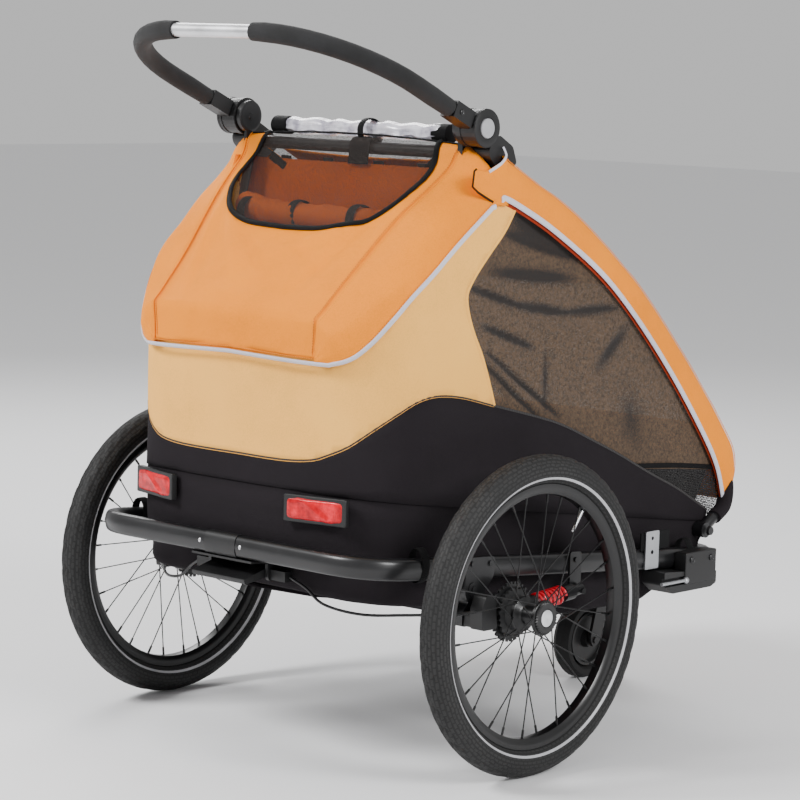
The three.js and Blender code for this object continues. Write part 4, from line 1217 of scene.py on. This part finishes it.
def rain_cover():
    """The clear cover's roll on its webbing ends, with its elastic loop and fastening strap."""
    low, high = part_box("rain_cover_roll")
    y, z = (low[1] + high[1]) / 2 - AXLE_Y, (low[2] + high[2]) / 2
    inset = 0.012
    length = high[0] - low[0] - 2 * inset
    line = [(low[0] + inset + length * i / 60, y + 0.002 * math.sin(i * 0.4),
             z + 0.0015 * math.sin(i * 0.7)) for i in range(61)]
    section = []
    for angle in angles(28):
        radius = 0.0130 + 0.0006 * math.sin(5 * angle) + 0.0004 * math.sin(9 * angle + 1)
        section.append((radius * math.cos(angle), radius * 1.1 * math.sin(angle)))
    roll = sweep("rain_cover_film", line, section, "film", "uprights",
                 scale=lambda t: 1 + 0.030 * math.sin(t * 17 + 1) + 0.012 * math.sin(t * 61))
    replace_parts(roll, "rain_cover_roll")
    for name, x in (("right", low[0] + 0.016), ("left", high[0] - 0.014)):
        hem = [(x + reach, y, z) for reach in (-0.016, -0.015, 0.015, 0.016)]
        sweep(f"rain_cover_hem_{name}", hem, ellipse(0.0150, 0.0165, 24), "webbing", "uprights",
              scale=lambda t: 0.93 if t in (0.0, 1.0) else 1.0)
    loop = []
    for angle in angles(36):
        loop.append((-0.018 + 0.003 * math.sin(angle), y + 0.006 + 0.0245 * math.cos(angle),
                     z - 0.004 + 0.0215 * math.sin(angle)))
    sweep("elastic_loop", loop, ellipse(0.0065, 0.0014, 10), "webbing", "uprights", up=(1, 0, 0),
          closed=True)
    strap_x, reach = -0.025, 0.0155
    wrap = [(strap_x, CROSS_TUBE_Y + reach * math.cos(a), CROSS_TUBE_Z + reach * math.sin(a))
            for a in [math.radians(150 - 12 * i) for i in range(13)]]
    wrap += [(strap_x, CROSS_TUBE_Y + reach * 1.02, CROSS_TUBE_Z - 0.012),
             (strap_x, CROSS_TUBE_Y + reach * 1.15, CROSS_TUBE_Z - 0.026)]
    sweep("hook_and_loop_strap", smooth_line(wrap, 2), ellipse(0.0022, 0.0215, 16, 0.5), "webbing",
          "uprights", up=(0, -1, 0))


# ---------- wheels ----------

TYRE_MAJOR = 0.2265
TYRE_HALF = 0.0235
STRIPE_RADIUS = 0.2150
SPOKES = 28
HUB_FLANGE = 0.023
RIM_BED = 0.1890
VALVE_TURN = 2.2


def on_wheel(x, radius, angle):
    return Vector((x, radius * math.cos(angle), AXLE_Z + radius * math.sin(angle)))


def tyre(name, side):
    """A tyre with blocks of tread cut round its crown and a reflective stripe on each wall."""
    cx = side * WHEEL_X
    rings = 176
    sides = 40
    rows = []
    for k in range(rings):
        row = []
        for angle in angles(sides):
            a, c = math.sin(angle), math.cos(angle)
            radius = TYRE_MAJOR + TYRE_HALF * c
            if c > 0.05:
                block = (k + (1 if a > 0 else 0) + int(abs(a) * 6)) % 4
                groove = 0.0 if block < 3 else 0.0022
                rib = 0.0016 if abs(abs(a) - 0.38) < 0.07 or abs(abs(a) - 0.76) < 0.06 else 0.0
                radius -= max(groove, rib) * min(1.0, (c - 0.05) * 4)
            row.append(on_wheel(cx + TYRE_HALF * a, radius, 2 * math.pi * k / rings))
        rows.append(row)
    bm = bmesh.new()
    uv = bm.loops.layers.uv.new("flat")
    round_it = 2 * math.pi * (TYRE_MAJOR + TYRE_HALF) / rings
    across = 2 * math.pi * TYRE_HALF / sides
    verts = [[bm.verts.new(place(p)) for p in row] for row in rows]
    for i in range(rings):
        for j in range(sides):
            m = (j + 1) % sides
            n = (i + 1) % rings
            face = bm.faces.new([verts[i][j], verts[i][m], verts[n][m], verts[n][j]])
            for loop, (a, b) in zip(face.loops, [(i, j), (i, j + 1), (i + 1, j + 1), (i + 1, j)]):
                loop[uv].uv = (a * round_it, b * across)
    bmesh.ops.recalc_face_normals(bm, faces=bm.faces)
    rubber = finish_piece(f"tyre_tread_{name}", bm, "tyre", f"wheel_{name}")
    sharpen(rubber, 28)
    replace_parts(rubber, f"tyre_{name}")
    for label, face in (("inner", -side), ("outer", side)):
        band = []
        for t in (-0.0018, -0.0009, 0.0, 0.0009, 0.0018):
            radius = STRIPE_RADIUS + t
            away = math.sqrt(max(0.0, TYRE_HALF**2 - (radius - TYRE_MAJOR) ** 2)) + 0.0004
            band.append((away, radius))
        ring = band + [(away - 0.0012, radius) for away, radius in reversed(band)]
        ring = [(face * away, radius) for away, radius in ring]
        lathe(f"reflective_stripe_{label}_{name}", ring, (cx, 0, AXLE_Z), "stripe", f"wheel_{name}",
              segments=128, closed=True)


def rim_and_spokes(name, side):
    cx = side * WHEEL_X
    body = f"wheel_{name}"
    rim = [(-0.0075, 0.1895), (0.0, 0.1885), (0.0075, 0.1895), (0.0115, 0.1945), (0.0125, 0.2005),
           (0.0125, 0.2055), (0.0105, 0.2065), (0.0095, 0.2035), (-0.0095, 0.2035), (-0.0105, 0.2065),
           (-0.0125, 0.2055), (-0.0125, 0.2005), (-0.0115, 0.1945)]
    piece = lathe(f"rim_hoop_{name}", rim, (cx, 0, AXLE_Z), "rim", body, segments=128, closed=True)
    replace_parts(piece, f"rim_{name}")
    spokes = []
    nipples = []
    outwards = (1, 0, 0)
    for i in range(SPOKES):
        flange = -1 if i % 2 == 0 else 1
        leading = 1 if (i // 2) % 2 == 0 else -1
        at_rim = 2 * math.pi * (i + 0.5) / SPOKES
        at_hub = at_rim + leading * 2 * math.pi / (SPOKES / 2) * 1.9
        start = on_wheel(cx + side * (flange * 0.020 + leading * 0.0015), HUB_FLANGE, at_hub)
        end = on_wheel(cx + side * flange * 0.003, RIM_BED, at_rim)
        inner = end.lerp(start, 0.075)
        spokes.append(sweep(f"spoke_{name}_{i}", [start, end], ellipse(0.0010, 0.0010, 8), "rim", body,
                            up=outwards))
        nipples.append(sweep(f"nipple_{name}_{i}", [inner, end], ellipse(0.0019, 0.0019, 8), "rim", body,
                             up=outwards))
    joined(f"spokes_{name}", spokes)
    joined(f"nipples_{name}", nipples)
    valve = [on_wheel(cx, radius, VALVE_TURN) for radius in (0.188, 0.150)]
    sweep(f"valve_{name}", valve, ellipse(0.003, 0.003, 12), "steel", body, up=outwards,
          scale=lambda t: 1.0 if t < 0.5 else 0.75)


def hub(name, side):
    """The hub's shell, the brake's toothed disc on its inner end and the release button."""
    body = f"wheel_{name}"
    centre = (side * WHEEL_X, 0, AXLE_Z)

    def turned_part(part, profile, look, rides=body, **more):
        return lathe(f"{part}_{name}", sided(profile, side), centre, look, rides, **more)

    shell = [(-0.0233, 0.010), (-0.0233, 0.0262), (-0.0225, 0.0272), (-0.0180, 0.0272),
             (-0.0172, 0.0262), (-0.0150, 0.0185), (-0.0120, 0.0155), (0.0120, 0.0155),
             (0.0150, 0.0185), (0.0172, 0.0262), (0.0180, 0.0272), (0.0225, 0.0272),
             (0.0233, 0.0262), (0.0233, 0.014)]
    hub_piece = turned_part("hub_shell", shell, "rim", segments=64, closed=True)
    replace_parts(hub_piece, f"hub_and_spokes_{name}")
    inner = -(WHEEL_X - 0.352)
    disc = [(inner, 0.016), (inner, 0.0450), (inner + 0.0035, 0.0450), (inner + 0.0035, 0.016)]
    turned_part("brake_disc", disc, "plastic", segments=240, wave=teeth(30, 0.0022, 0.04))
    carrier = [(inner - 0.004, 0.012), (inner - 0.004, 0.030), (inner, 0.034), (inner + 0.008, 0.038),
               (inner + 0.012, 0.038), (inner + 0.014, 0.028), (-0.0235, 0.022), (-0.0233, 0.012)]
    turned_part("disc_carrier", carrier, "plastic", segments=96, wave=teeth(24, 0.0018, 0.036))
    ring = [(0.0233, 0.0145), (0.0233, 0.0245), (0.0262, 0.0245), (0.0275, 0.0225), (0.0275, 0.0145)]
    turned_part("hub_ring", ring, "plastic", segments=144, closed=True,
                wave=lambda a, r: 0.0009 * math.sin(36 * a) if r > 0.02 else 0.0)
    cap = [(0.0235, 0.002), (0.0235, 0.0128), (0.0275, 0.0132), (0.0282, 0.0118), (0.0284, 0.004),
           (0.0278, 0.0015)]
    cap_piece = turned_part("hub_cap", cap, "silver", f"hub_button_{name}", segments=48)
    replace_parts(cap_piece, f"hub_release_button_{name}")


def coil(name):
    """The red suspension spring with its true turns."""
    low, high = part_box(f"suspension_spring_{name}")
    x = (low[0] + high[0]) / 2
    rear = Vector((x, -0.0797, 0.251))
    front = Vector((x, -0.1468, 0.2565))
    axis = (front - rear).normalized()
    first = Vector((1, 0, 0))
    second = axis.cross(first)
    turns = 6.5
    steps = 170
    wire = 0.0026
    radius = 0.0150 - wire
    line = []
    for i in range(steps + 1):
        t = i / steps
        angle = 2 * math.pi * turns * t
        spot = rear.lerp(front, 0.04 + 0.92 * t)
        line.append(spot + (first * math.cos(angle) + second * math.sin(angle)) * radius)
    piece = sweep(f"spring_coil_{name}", line, ellipse(wire, wire, 8), "red", None, up=axis)
    ends = [rear + axis * 0.001, front - axis * 0.001]
    rod = sweep(f"spring_rod_{name}", ends, ellipse(0.0045, 0.0045, 14), "steel", None, up=first)
    for part in (piece, rod):
        tuple(place(rear))
        tuple(place(front))
        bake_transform(part)
    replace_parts(piece, f"suspension_spring_{name}")


# ---------- chassis, handle and fittings ----------

RAIL_PITCH = math.radians(4.75)
RAIL = {"half": 0.310, "rear": 0.273, "front": -0.590, "z": 0.3148, "tall": 0.034, "deep": 0.024}
HINGE = (-0.565, 0.312)  # the hoop's feet turn here, in the side view
FOOT_X = 0.2965
HOOP_X = 0.268
TUBE = 0.010


def bend_line(points, bends, steps=14):
    """Straight runs joined by rounded corners."""
    corners = [Vector(p) for p in points]
    line = [corners[0]]
    for i in range(1, len(corners) - 1):
        start = corners[i] + (corners[i - 1] - corners[i]).normalized() * bends[i - 1]
        end = corners[i] + (corners[i + 1] - corners[i]).normalized() * bends[i - 1]
        pieces = max(2, int((start - line[-1]).length / 0.05))
        for k in range(1, pieces):
            line.append(line[-1].lerp(start, 1 / (pieces - k + 1)))
        for k in range(steps + 1):
            t = k / steps
            line.append(start * (1 - t) ** 2 + corners[i] * 2 * t * (1 - t) + end * t**2)
    line.append(corners[-1])
    return line


def pitched(point):
    x, y, z = point
    return Vector((x, y * math.cos(RAIL_PITCH), RAIL["z"] + y * math.sin(RAIL_PITCH) + z))


def chassis_loop():
    """The rail all round the trailer in two halves, the sleeve that joins them, and its bolts."""
    section = ellipse(RAIL["tall"] / 2, RAIL["deep"] / 2, 28, 0.7)
    ridge = [(a, b + 0.0012 * math.exp(-((a / 0.0035) ** 2)) * (1 if b > 0 else -1)) for a, b in section]
    for name, side in SIDES:
        half = side * RAIL["half"]
        points = [(side * 0.034, RAIL["rear"], 0), (half, RAIL["rear"], 0),
                  (half, RAIL["front"], 0), (side * 0.0004, RAIL["front"], 0)]
        line = [pitched(p) for p in bend_line(points, [0.095, 0.062])]
        rail = sweep(f"chassis_rail_{name}", line, ridge, "tube", "chassis")
        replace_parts(rail, f"frame_loop_{name}")
        bolt = sided([(0.312, 0.0), (0.312, 0.008), (0.3165, 0.007), (0.3165, 0.0)], side)
        lathe(f"hinge_bolt_{name}", bolt, (0, *HINGE), "tube", "chassis", segments=24)
    grown = [(a * 1.07, b * 1.1) for a, b in section]
    sleeve_line = [pitched((x, RAIL["rear"], 0)) for x in (-0.0335, 0.0335)]
    sleeve = sweep("bumper_sleeve_cover", sleeve_line, grown, "plastic", "chassis")
    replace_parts(sleeve, "bumper_sleeve")
    for name, side in SIDES:
        centre = pitched((side * 0.0445, RAIL["rear"] + 0.0118, 0))
        bm = bmesh.new()
        bmesh.ops.create_uvsphere(bm, u_segments=16, v_segments=8, radius=0.0038)
        for vert in bm.verts:
            vert.co = place(centre) + Vector((vert.co.x, vert.co.y * 0.5, vert.co.z))
        finish_piece(f"bumper_rivet_{name}", bm, "silver", "chassis")


def folding_frame():
    """Smooth tubes over the hoop and the uprights."""
    hoop_side = [(-0.034, 0.922), (-0.075, 0.901), (-0.179, 0.858), (-0.273, 0.798), (-0.398, 0.701),
                 (-0.539, 0.564), (-0.630, 0.458), (-0.654, 0.412)]
    hoop_foot = [(0.281, -0.651, 0.378), (0.293, -0.629, 0.347), (FOOT_X, -0.590, 0.327),
                 (FOOT_X, -0.571, 0.315)]
    tubes = []
    for name, side in SIDES:
        route = mirrored([(HOOP_X, y, z) for y, z in hoop_side] + hoop_foot, side)
        tubes.append(sweep(f"hoop_tube_{name}", smooth_line(route, 6), ellipse(TUBE, TUBE, 20), "tube",
                           "hoop", up=(1, 0, 0)))
        eye = [(-0.0095, 0.0), (-0.0095, 0.013), (0.0095, 0.013), (0.0095, 0.0)]
        eye = sided(eye, side, FOOT_X)
        tubes.append(lathe(f"hoop_eye_{name}", eye, (0, *HINGE), "tube", "hoop", segments=32))
    nose = [(-HOOP_X, -0.653, 0.412), (HOOP_X, -0.653, 0.412)]
    tubes.append(sweep("hoop_nose", nose, ellipse(0.009, 0.009, 20), "tube", "hoop"))
    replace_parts(joined("hoop_tubes", tubes), "front_hoop")
    corners = [(-0.228, 0.100, 0.475), (-0.228, CROSS_TUBE_Y, CROSS_TUBE_Z),
               (0.228, CROSS_TUBE_Y, CROSS_TUBE_Z), (0.228, 0.100, 0.475)]
    path = bend_line(corners, [0.034, 0.034], 10)
    parts = [sweep("upright_tubes", path, ellipse(TUBE, TUBE, 20), "tube", "uprights", up=(0, 1, 0))]
    disc = [(0.0, 0.0), (-0.0012, 0.0), (-0.0012, 0.0045), (0.0, 0.0052), (0.0004, 0.0190),
            (-0.0004, 0.0215), (0.0010, 0.0255), (0.0075, 0.0262), (0.0075, 0.0)]
    for name, side in SIDES:
        low, high = (side * 0.2325, -0.008, 0.944), (side * 0.2385, 0.016, 0.985)
        parts.append(slab(f"upright_lug_{name}", low, high, "tube", "uprights", 0.002))
        plate = sided(disc, side, 0.2315)
        parts.append(lathe(f"upright_disc_{name}", plate, (0, PIVOT_Y, PIVOT_Z), "tube", "uprights",
                           segments=64))
    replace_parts(joined("upright_frame", parts), "rear_uprights")


HANDLE_TILT = math.radians(23.74)
HANDLE = {"arm": 0.264, "reach": 0.3395, "bend": 0.180}


def on_handle(x, u):
    """A point on the handle's plane, at a distance from its pivot."""
    return Vector((x, PIVOT_Y + u * math.cos(HANDLE_TILT), PIVOT_Z + u * math.sin(HANDLE_TILT)))


def push_handle():
    """A silver cross bar, foam grips round the corners and short black stubs at the knuckles."""
    arm, bend = HANDLE["arm"], HANDLE["bend"]
    straight = HANDLE["reach"] - bend
    silver = [on_handle(x, HANDLE["reach"]) for x in (-0.088, -0.03, 0.03, 0.088)]
    bar = sweep("handle_bar", silver, ellipse(0.0105, 0.0105, 24), "silver", "push_handle")
    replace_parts(bar, "handlebar_tube")
    for name, side in SIDES:
        flat = [(side * arm, u) for u in (0.076, 0.118, straight)]
        for i in range(1, 13):
            angle = math.pi / 2 * i / 12
            flat.append((side * (arm - bend + bend * math.cos(angle)), straight + bend * math.sin(angle)))
        line = [on_handle(x, u) for x, u in flat]
        grip = sweep(f"foam_grip_{name}", line, ellipse(0.015, 0.015, 24), "foam", "push_handle",
                     scale=lambda t: 0.93 + 0.07 * between(t, 0, 0.03) * between(1 - t, 0, 0.02))
        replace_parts(grip, f"grip_foam_{name}")
        stub = [on_handle(side * arm, u) for u in (0.050, 0.080)]
        sweep(f"handle_stub_{name}", stub, ellipse(0.0105, 0.0105, 20), "tube", "push_handle")
        knuckle_screw(name, side)


def knuckle_screw(name, side):
    centre = on_handle(side * (HANDLE["arm"] + 0.014), 0.060)
    profile = sided([(0.0, 0.0042), (0.0012, 0.0042), (0.0016, 0.0034), (0.0006, 0.0020)], side)
    lathe(f"knuckle_screw_{name}", profile, centre, "tube", "push_handle", segments=24)


def handle_pivots():
    """Rims round the round housings and a light push button."""
    centre = (0, PIVOT_Y, PIVOT_Z)
    outer = 0.2816
    rim = [(-0.001, 0.0172), (0.0004, 0.0180), (0.0004, 0.0275), (-0.0010, 0.0300), (-0.0035, 0.0303)]
    cap = [(-0.0024, 0.0), (-0.0024, 0.0152), (0.0018, 0.0152), (0.0029, 0.0140), (0.0031, 0.0)]
    for name, side in SIDES:
        lathe(f"pivot_rim_{name}", sided(rim, side, outer), centre, "plastic", "hoop", segments=72,
              closed=True)
        button = lathe(f"pivot_cap_{name}", sided(cap, side, outer), centre, "grey",
                       f"pivot_button_{name}", segments=48)
        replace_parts(button, f"handle_pivot_button_{name}")


REFLECTOR = {"s": 0.176, "half": 0.055, "low": 0.3895, "high": 0.4315, "depth": 0.0135}


def laid_on_wall(piece, side):
    """Turns a piece made at the wall's middle line until it lies on the wall, off the centre."""
    slope = math.asin(BODY.at(0.999 * REFLECTOR["s"])[2])
    x, y, _ = BODY.at(side * REFLECTOR["s"])
    origin = place((0, 0, 0))
    turn = Matrix.Rotation(-side * slope, 4, "Z")
    spot = place((x, y, 0))
    for vert in piece.data.vertices:
        vert.co = turn @ (vert.co - origin) + spot
    return piece


def reflectors():
    """Red lenses with a raised slanting rib, each in a black housing on the rear wall."""
    half, low, high, depth = (REFLECTOR[key] for key in ("half", "low", "high", "depth"))
    for name, side in SIDES:
        rows = []
        for j in range(13):
            row = []
            for i in range(41):
                u, v = i / 40, j / 12
                rib = 0.0014 * math.exp(-(((u - 0.5) * 2.0 - (v - 0.5)) * 6) ** 2)
                rounded = 0.003 * (abs(2 * u - 1) ** 8 + abs(2 * v - 1) ** 8)
                x = (2 * u - 1) * (half - 0.004)
                row.append((x, depth - 0.001 + rib - rounded, low + 0.004 + (high - low - 0.008) * v))
            rows.append(row)
        lens = thicken(grid(f"reflector_face_{name}", rows, "lens", "chassis"), 0.003, 1.0)
        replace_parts(laid_on_wall(lens, side), f"reflector_{name}")
        housing = slab(f"reflector_housing_{name}", (-half, 0.0, low), (half, depth - 0.003, high),
                       "plastic", "chassis", 0.003)
        laid_on_wall(housing, side)


def brake_cables():
    """The cable runs are those of the CAD, with a smooth sheath."""
    route = [(0.101, 0.230, 0.294), (0.128, 0.222, 0.280), (0.160, 0.214, 0.258), (0.215, 0.190, 0.248),
             (0.270, 0.150, 0.250), (0.318, 0.112, 0.254), (0.345, 0.092, 0.258), (0.352, 0.0815, 0.259)]
    for name, side in SIDES:
        line = smooth_line(mirrored(route, side), 8)
        cable = sweep(f"cable_{name}", line, ellipse(0.0023, 0.0023, 10), "cable", None)
        tuple(place(line[28]))
        tuple(place(line[-6]))
        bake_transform(cable)
        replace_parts(cable, f"brake_cable_{name}")


def webbing_loops():
    """Short webbing loops by which the cloth is strapped to the chassis."""
    for name, side in SIDES:
        for index, y in enumerate((0.165, -0.30, -0.50)):
            z = RAIL["z"] + y * math.tan(RAIL_PITCH)
            loop = []
            for angle in angles(28):
                x = side * (0.3085 + 0.0150 * math.cos(angle))
                loop.append((x, y, z + 0.006 + 0.0265 * math.sin(angle)))
            sweep(f"webbing_loop_{name}_{index}", loop, ellipse(0.0085, 0.0009, 8), "webbing", "chassis",
                  up=(0, 1, 0), closed=True)


def drawbar_details():
    """The socket's outer plate with its two screws, and the safety strap's webbing end."""
    slab("drawbar_plate", (-0.3478, -0.540, 0.2365), (-0.3230, -0.456, 0.2895), "plastic", "chassis",
         0.003)
    for index, (y, z) in enumerate(((-0.472, 0.277), (-0.525, 0.276))):
        head = [(0.0, 0.0056), (-0.0014, 0.0056), (-0.0022, 0.0044), (-0.0010, 0.0028), (-0.0010, 0.0)]
        lathe(f"drawbar_screw_{index}", head, (-0.3478, y, z), "tube", "chassis", segments=32)
    slab("safety_strap_end", (-0.3215, -0.442, 0.2985), (-0.3185, -0.366, 0.329), "webbing",
         "chassis", 0.001)


KEPT_NODES = {
    "plastic": ["brake_lock_right", "brake_lock_left", "caster_wheel", "caster_fork", "caster_mount",
                "handle_pivot_housing_right", "handle_pivot_housing_left", "handle_knuckle_right",
                "handle_knuckle_left", "upright_catch_right", "upright_catch_left", "brake_bracket",
                "brake_pedal", "drawbar_socket"],
    "tube": ["arm_bracket_right", "arm_bracket_left", "spring_hanger_right", "spring_hanger_left",
             "swing_arm_right", "swing_arm_left", "seat_frame"],
    "steel": ["drawbar_strap", "drawbar_lock_pin"],
    "tyre": ["caster_tyre"],
}


def dress_frame():
    """CAD pieces that stay get their finish and slightly broken edges."""
    for look, names in KEPT_NODES.items():
        for name in names:
            node = frame["nodes"][name]
            for slot in node.material_slots:
                slot.material = MATERIAL[look]
            soften(node)


# ---------- floor, light and camera ----------


def studio():
    bpy.ops.mesh.primitive_plane_add(size=40, location=(0, 0, 0))
    floor = bpy.context.object
    floor.name = "floor"
    n = Nodes("pale_floor")
    n.set(Base_Color=(0.86, 0.86, 0.87, 1.0), Roughness=0.75)
    floor.data.materials.append(n.material)
    world = bpy.data.worlds.new("studio")
    bpy.context.scene.world = world
    world.use_nodes = True
    background = world.node_tree.nodes["Background"]
    background.inputs["Color"].default_value = (1.0, 1.0, 1.0, 1.0)
    background.inputs["Strength"].default_value = 0.62
    lamps = [("key", (1.6, 3.4, 3.6), 1.3, 250.0), ("side", (-4.2, 0.4, 2.6), 1.6, 170.0),
             ("rim", (3.0, -2.0, 3.0), 2.0, 90.0)]
    for name, spot, size, power in lamps:
        light = bpy.data.lights.new(name, "AREA")
        light.size = size
        light.energy = power
        lamp = bpy.data.objects.new(name, light)
        bpy.context.collection.objects.link(lamp)
        lamp.location = spot
        aim = Vector((0, 0, 0.55)) - Vector(spot)
        lamp.rotation_euler = aim.to_track_quat("-Z", "Y").to_euler()


CAMERA = {"azimuth": 222.281, "elevation": 6.894, "roll": 1.591, "lens": 131.85,
          "place": (-3.2157, 3.4144, 1.1121)}


def camera():
    """The photograph's point of view, with its small roll."""
    azimuth, elevation, roll = (math.radians(CAMERA[key]) for key in ("azimuth", "elevation", "roll"))
    flat = math.cos(elevation)
    back = Vector((math.sin(azimuth) * flat, -math.cos(azimuth) * flat, math.sin(elevation)))
    right = (-back).cross(Vector((0, 0, 1))).normalized()
    up = right.cross(-back)
    right, up = (right * math.cos(roll) + up * math.sin(roll),
                 up * math.cos(roll) - right * math.sin(roll))
    data = bpy.data.cameras.new("camera")
    data.lens = CAMERA["lens"]
    data.sensor_width = 36
    view = bpy.data.objects.new("camera", data)
    bpy.context.collection.objects.link(view)
    turn = Matrix((right, up, back)).transposed().to_4x4()
    view.matrix_world = Matrix.Translation(place(CAMERA["place"])) @ turn
    bpy.context.scene.camera = view


tub_cloth()
upper_black()
peach_cloth()
side_nets()
rear_flap()
flap_piping()
hood()
front_cloth()
foot_sleeves()
interior()
rain_cover()
for side_name, sign in SIDES:
    tyre(side_name, sign)
    rim_and_spokes(side_name, sign)
    hub(side_name, sign)
    coil(side_name)
chassis_loop()
folding_frame()
push_handle()
handle_pivots()
reflectors()
brake_cables()
webbing_loops()
drawbar_details()
dress_frame()
studio()
camera()
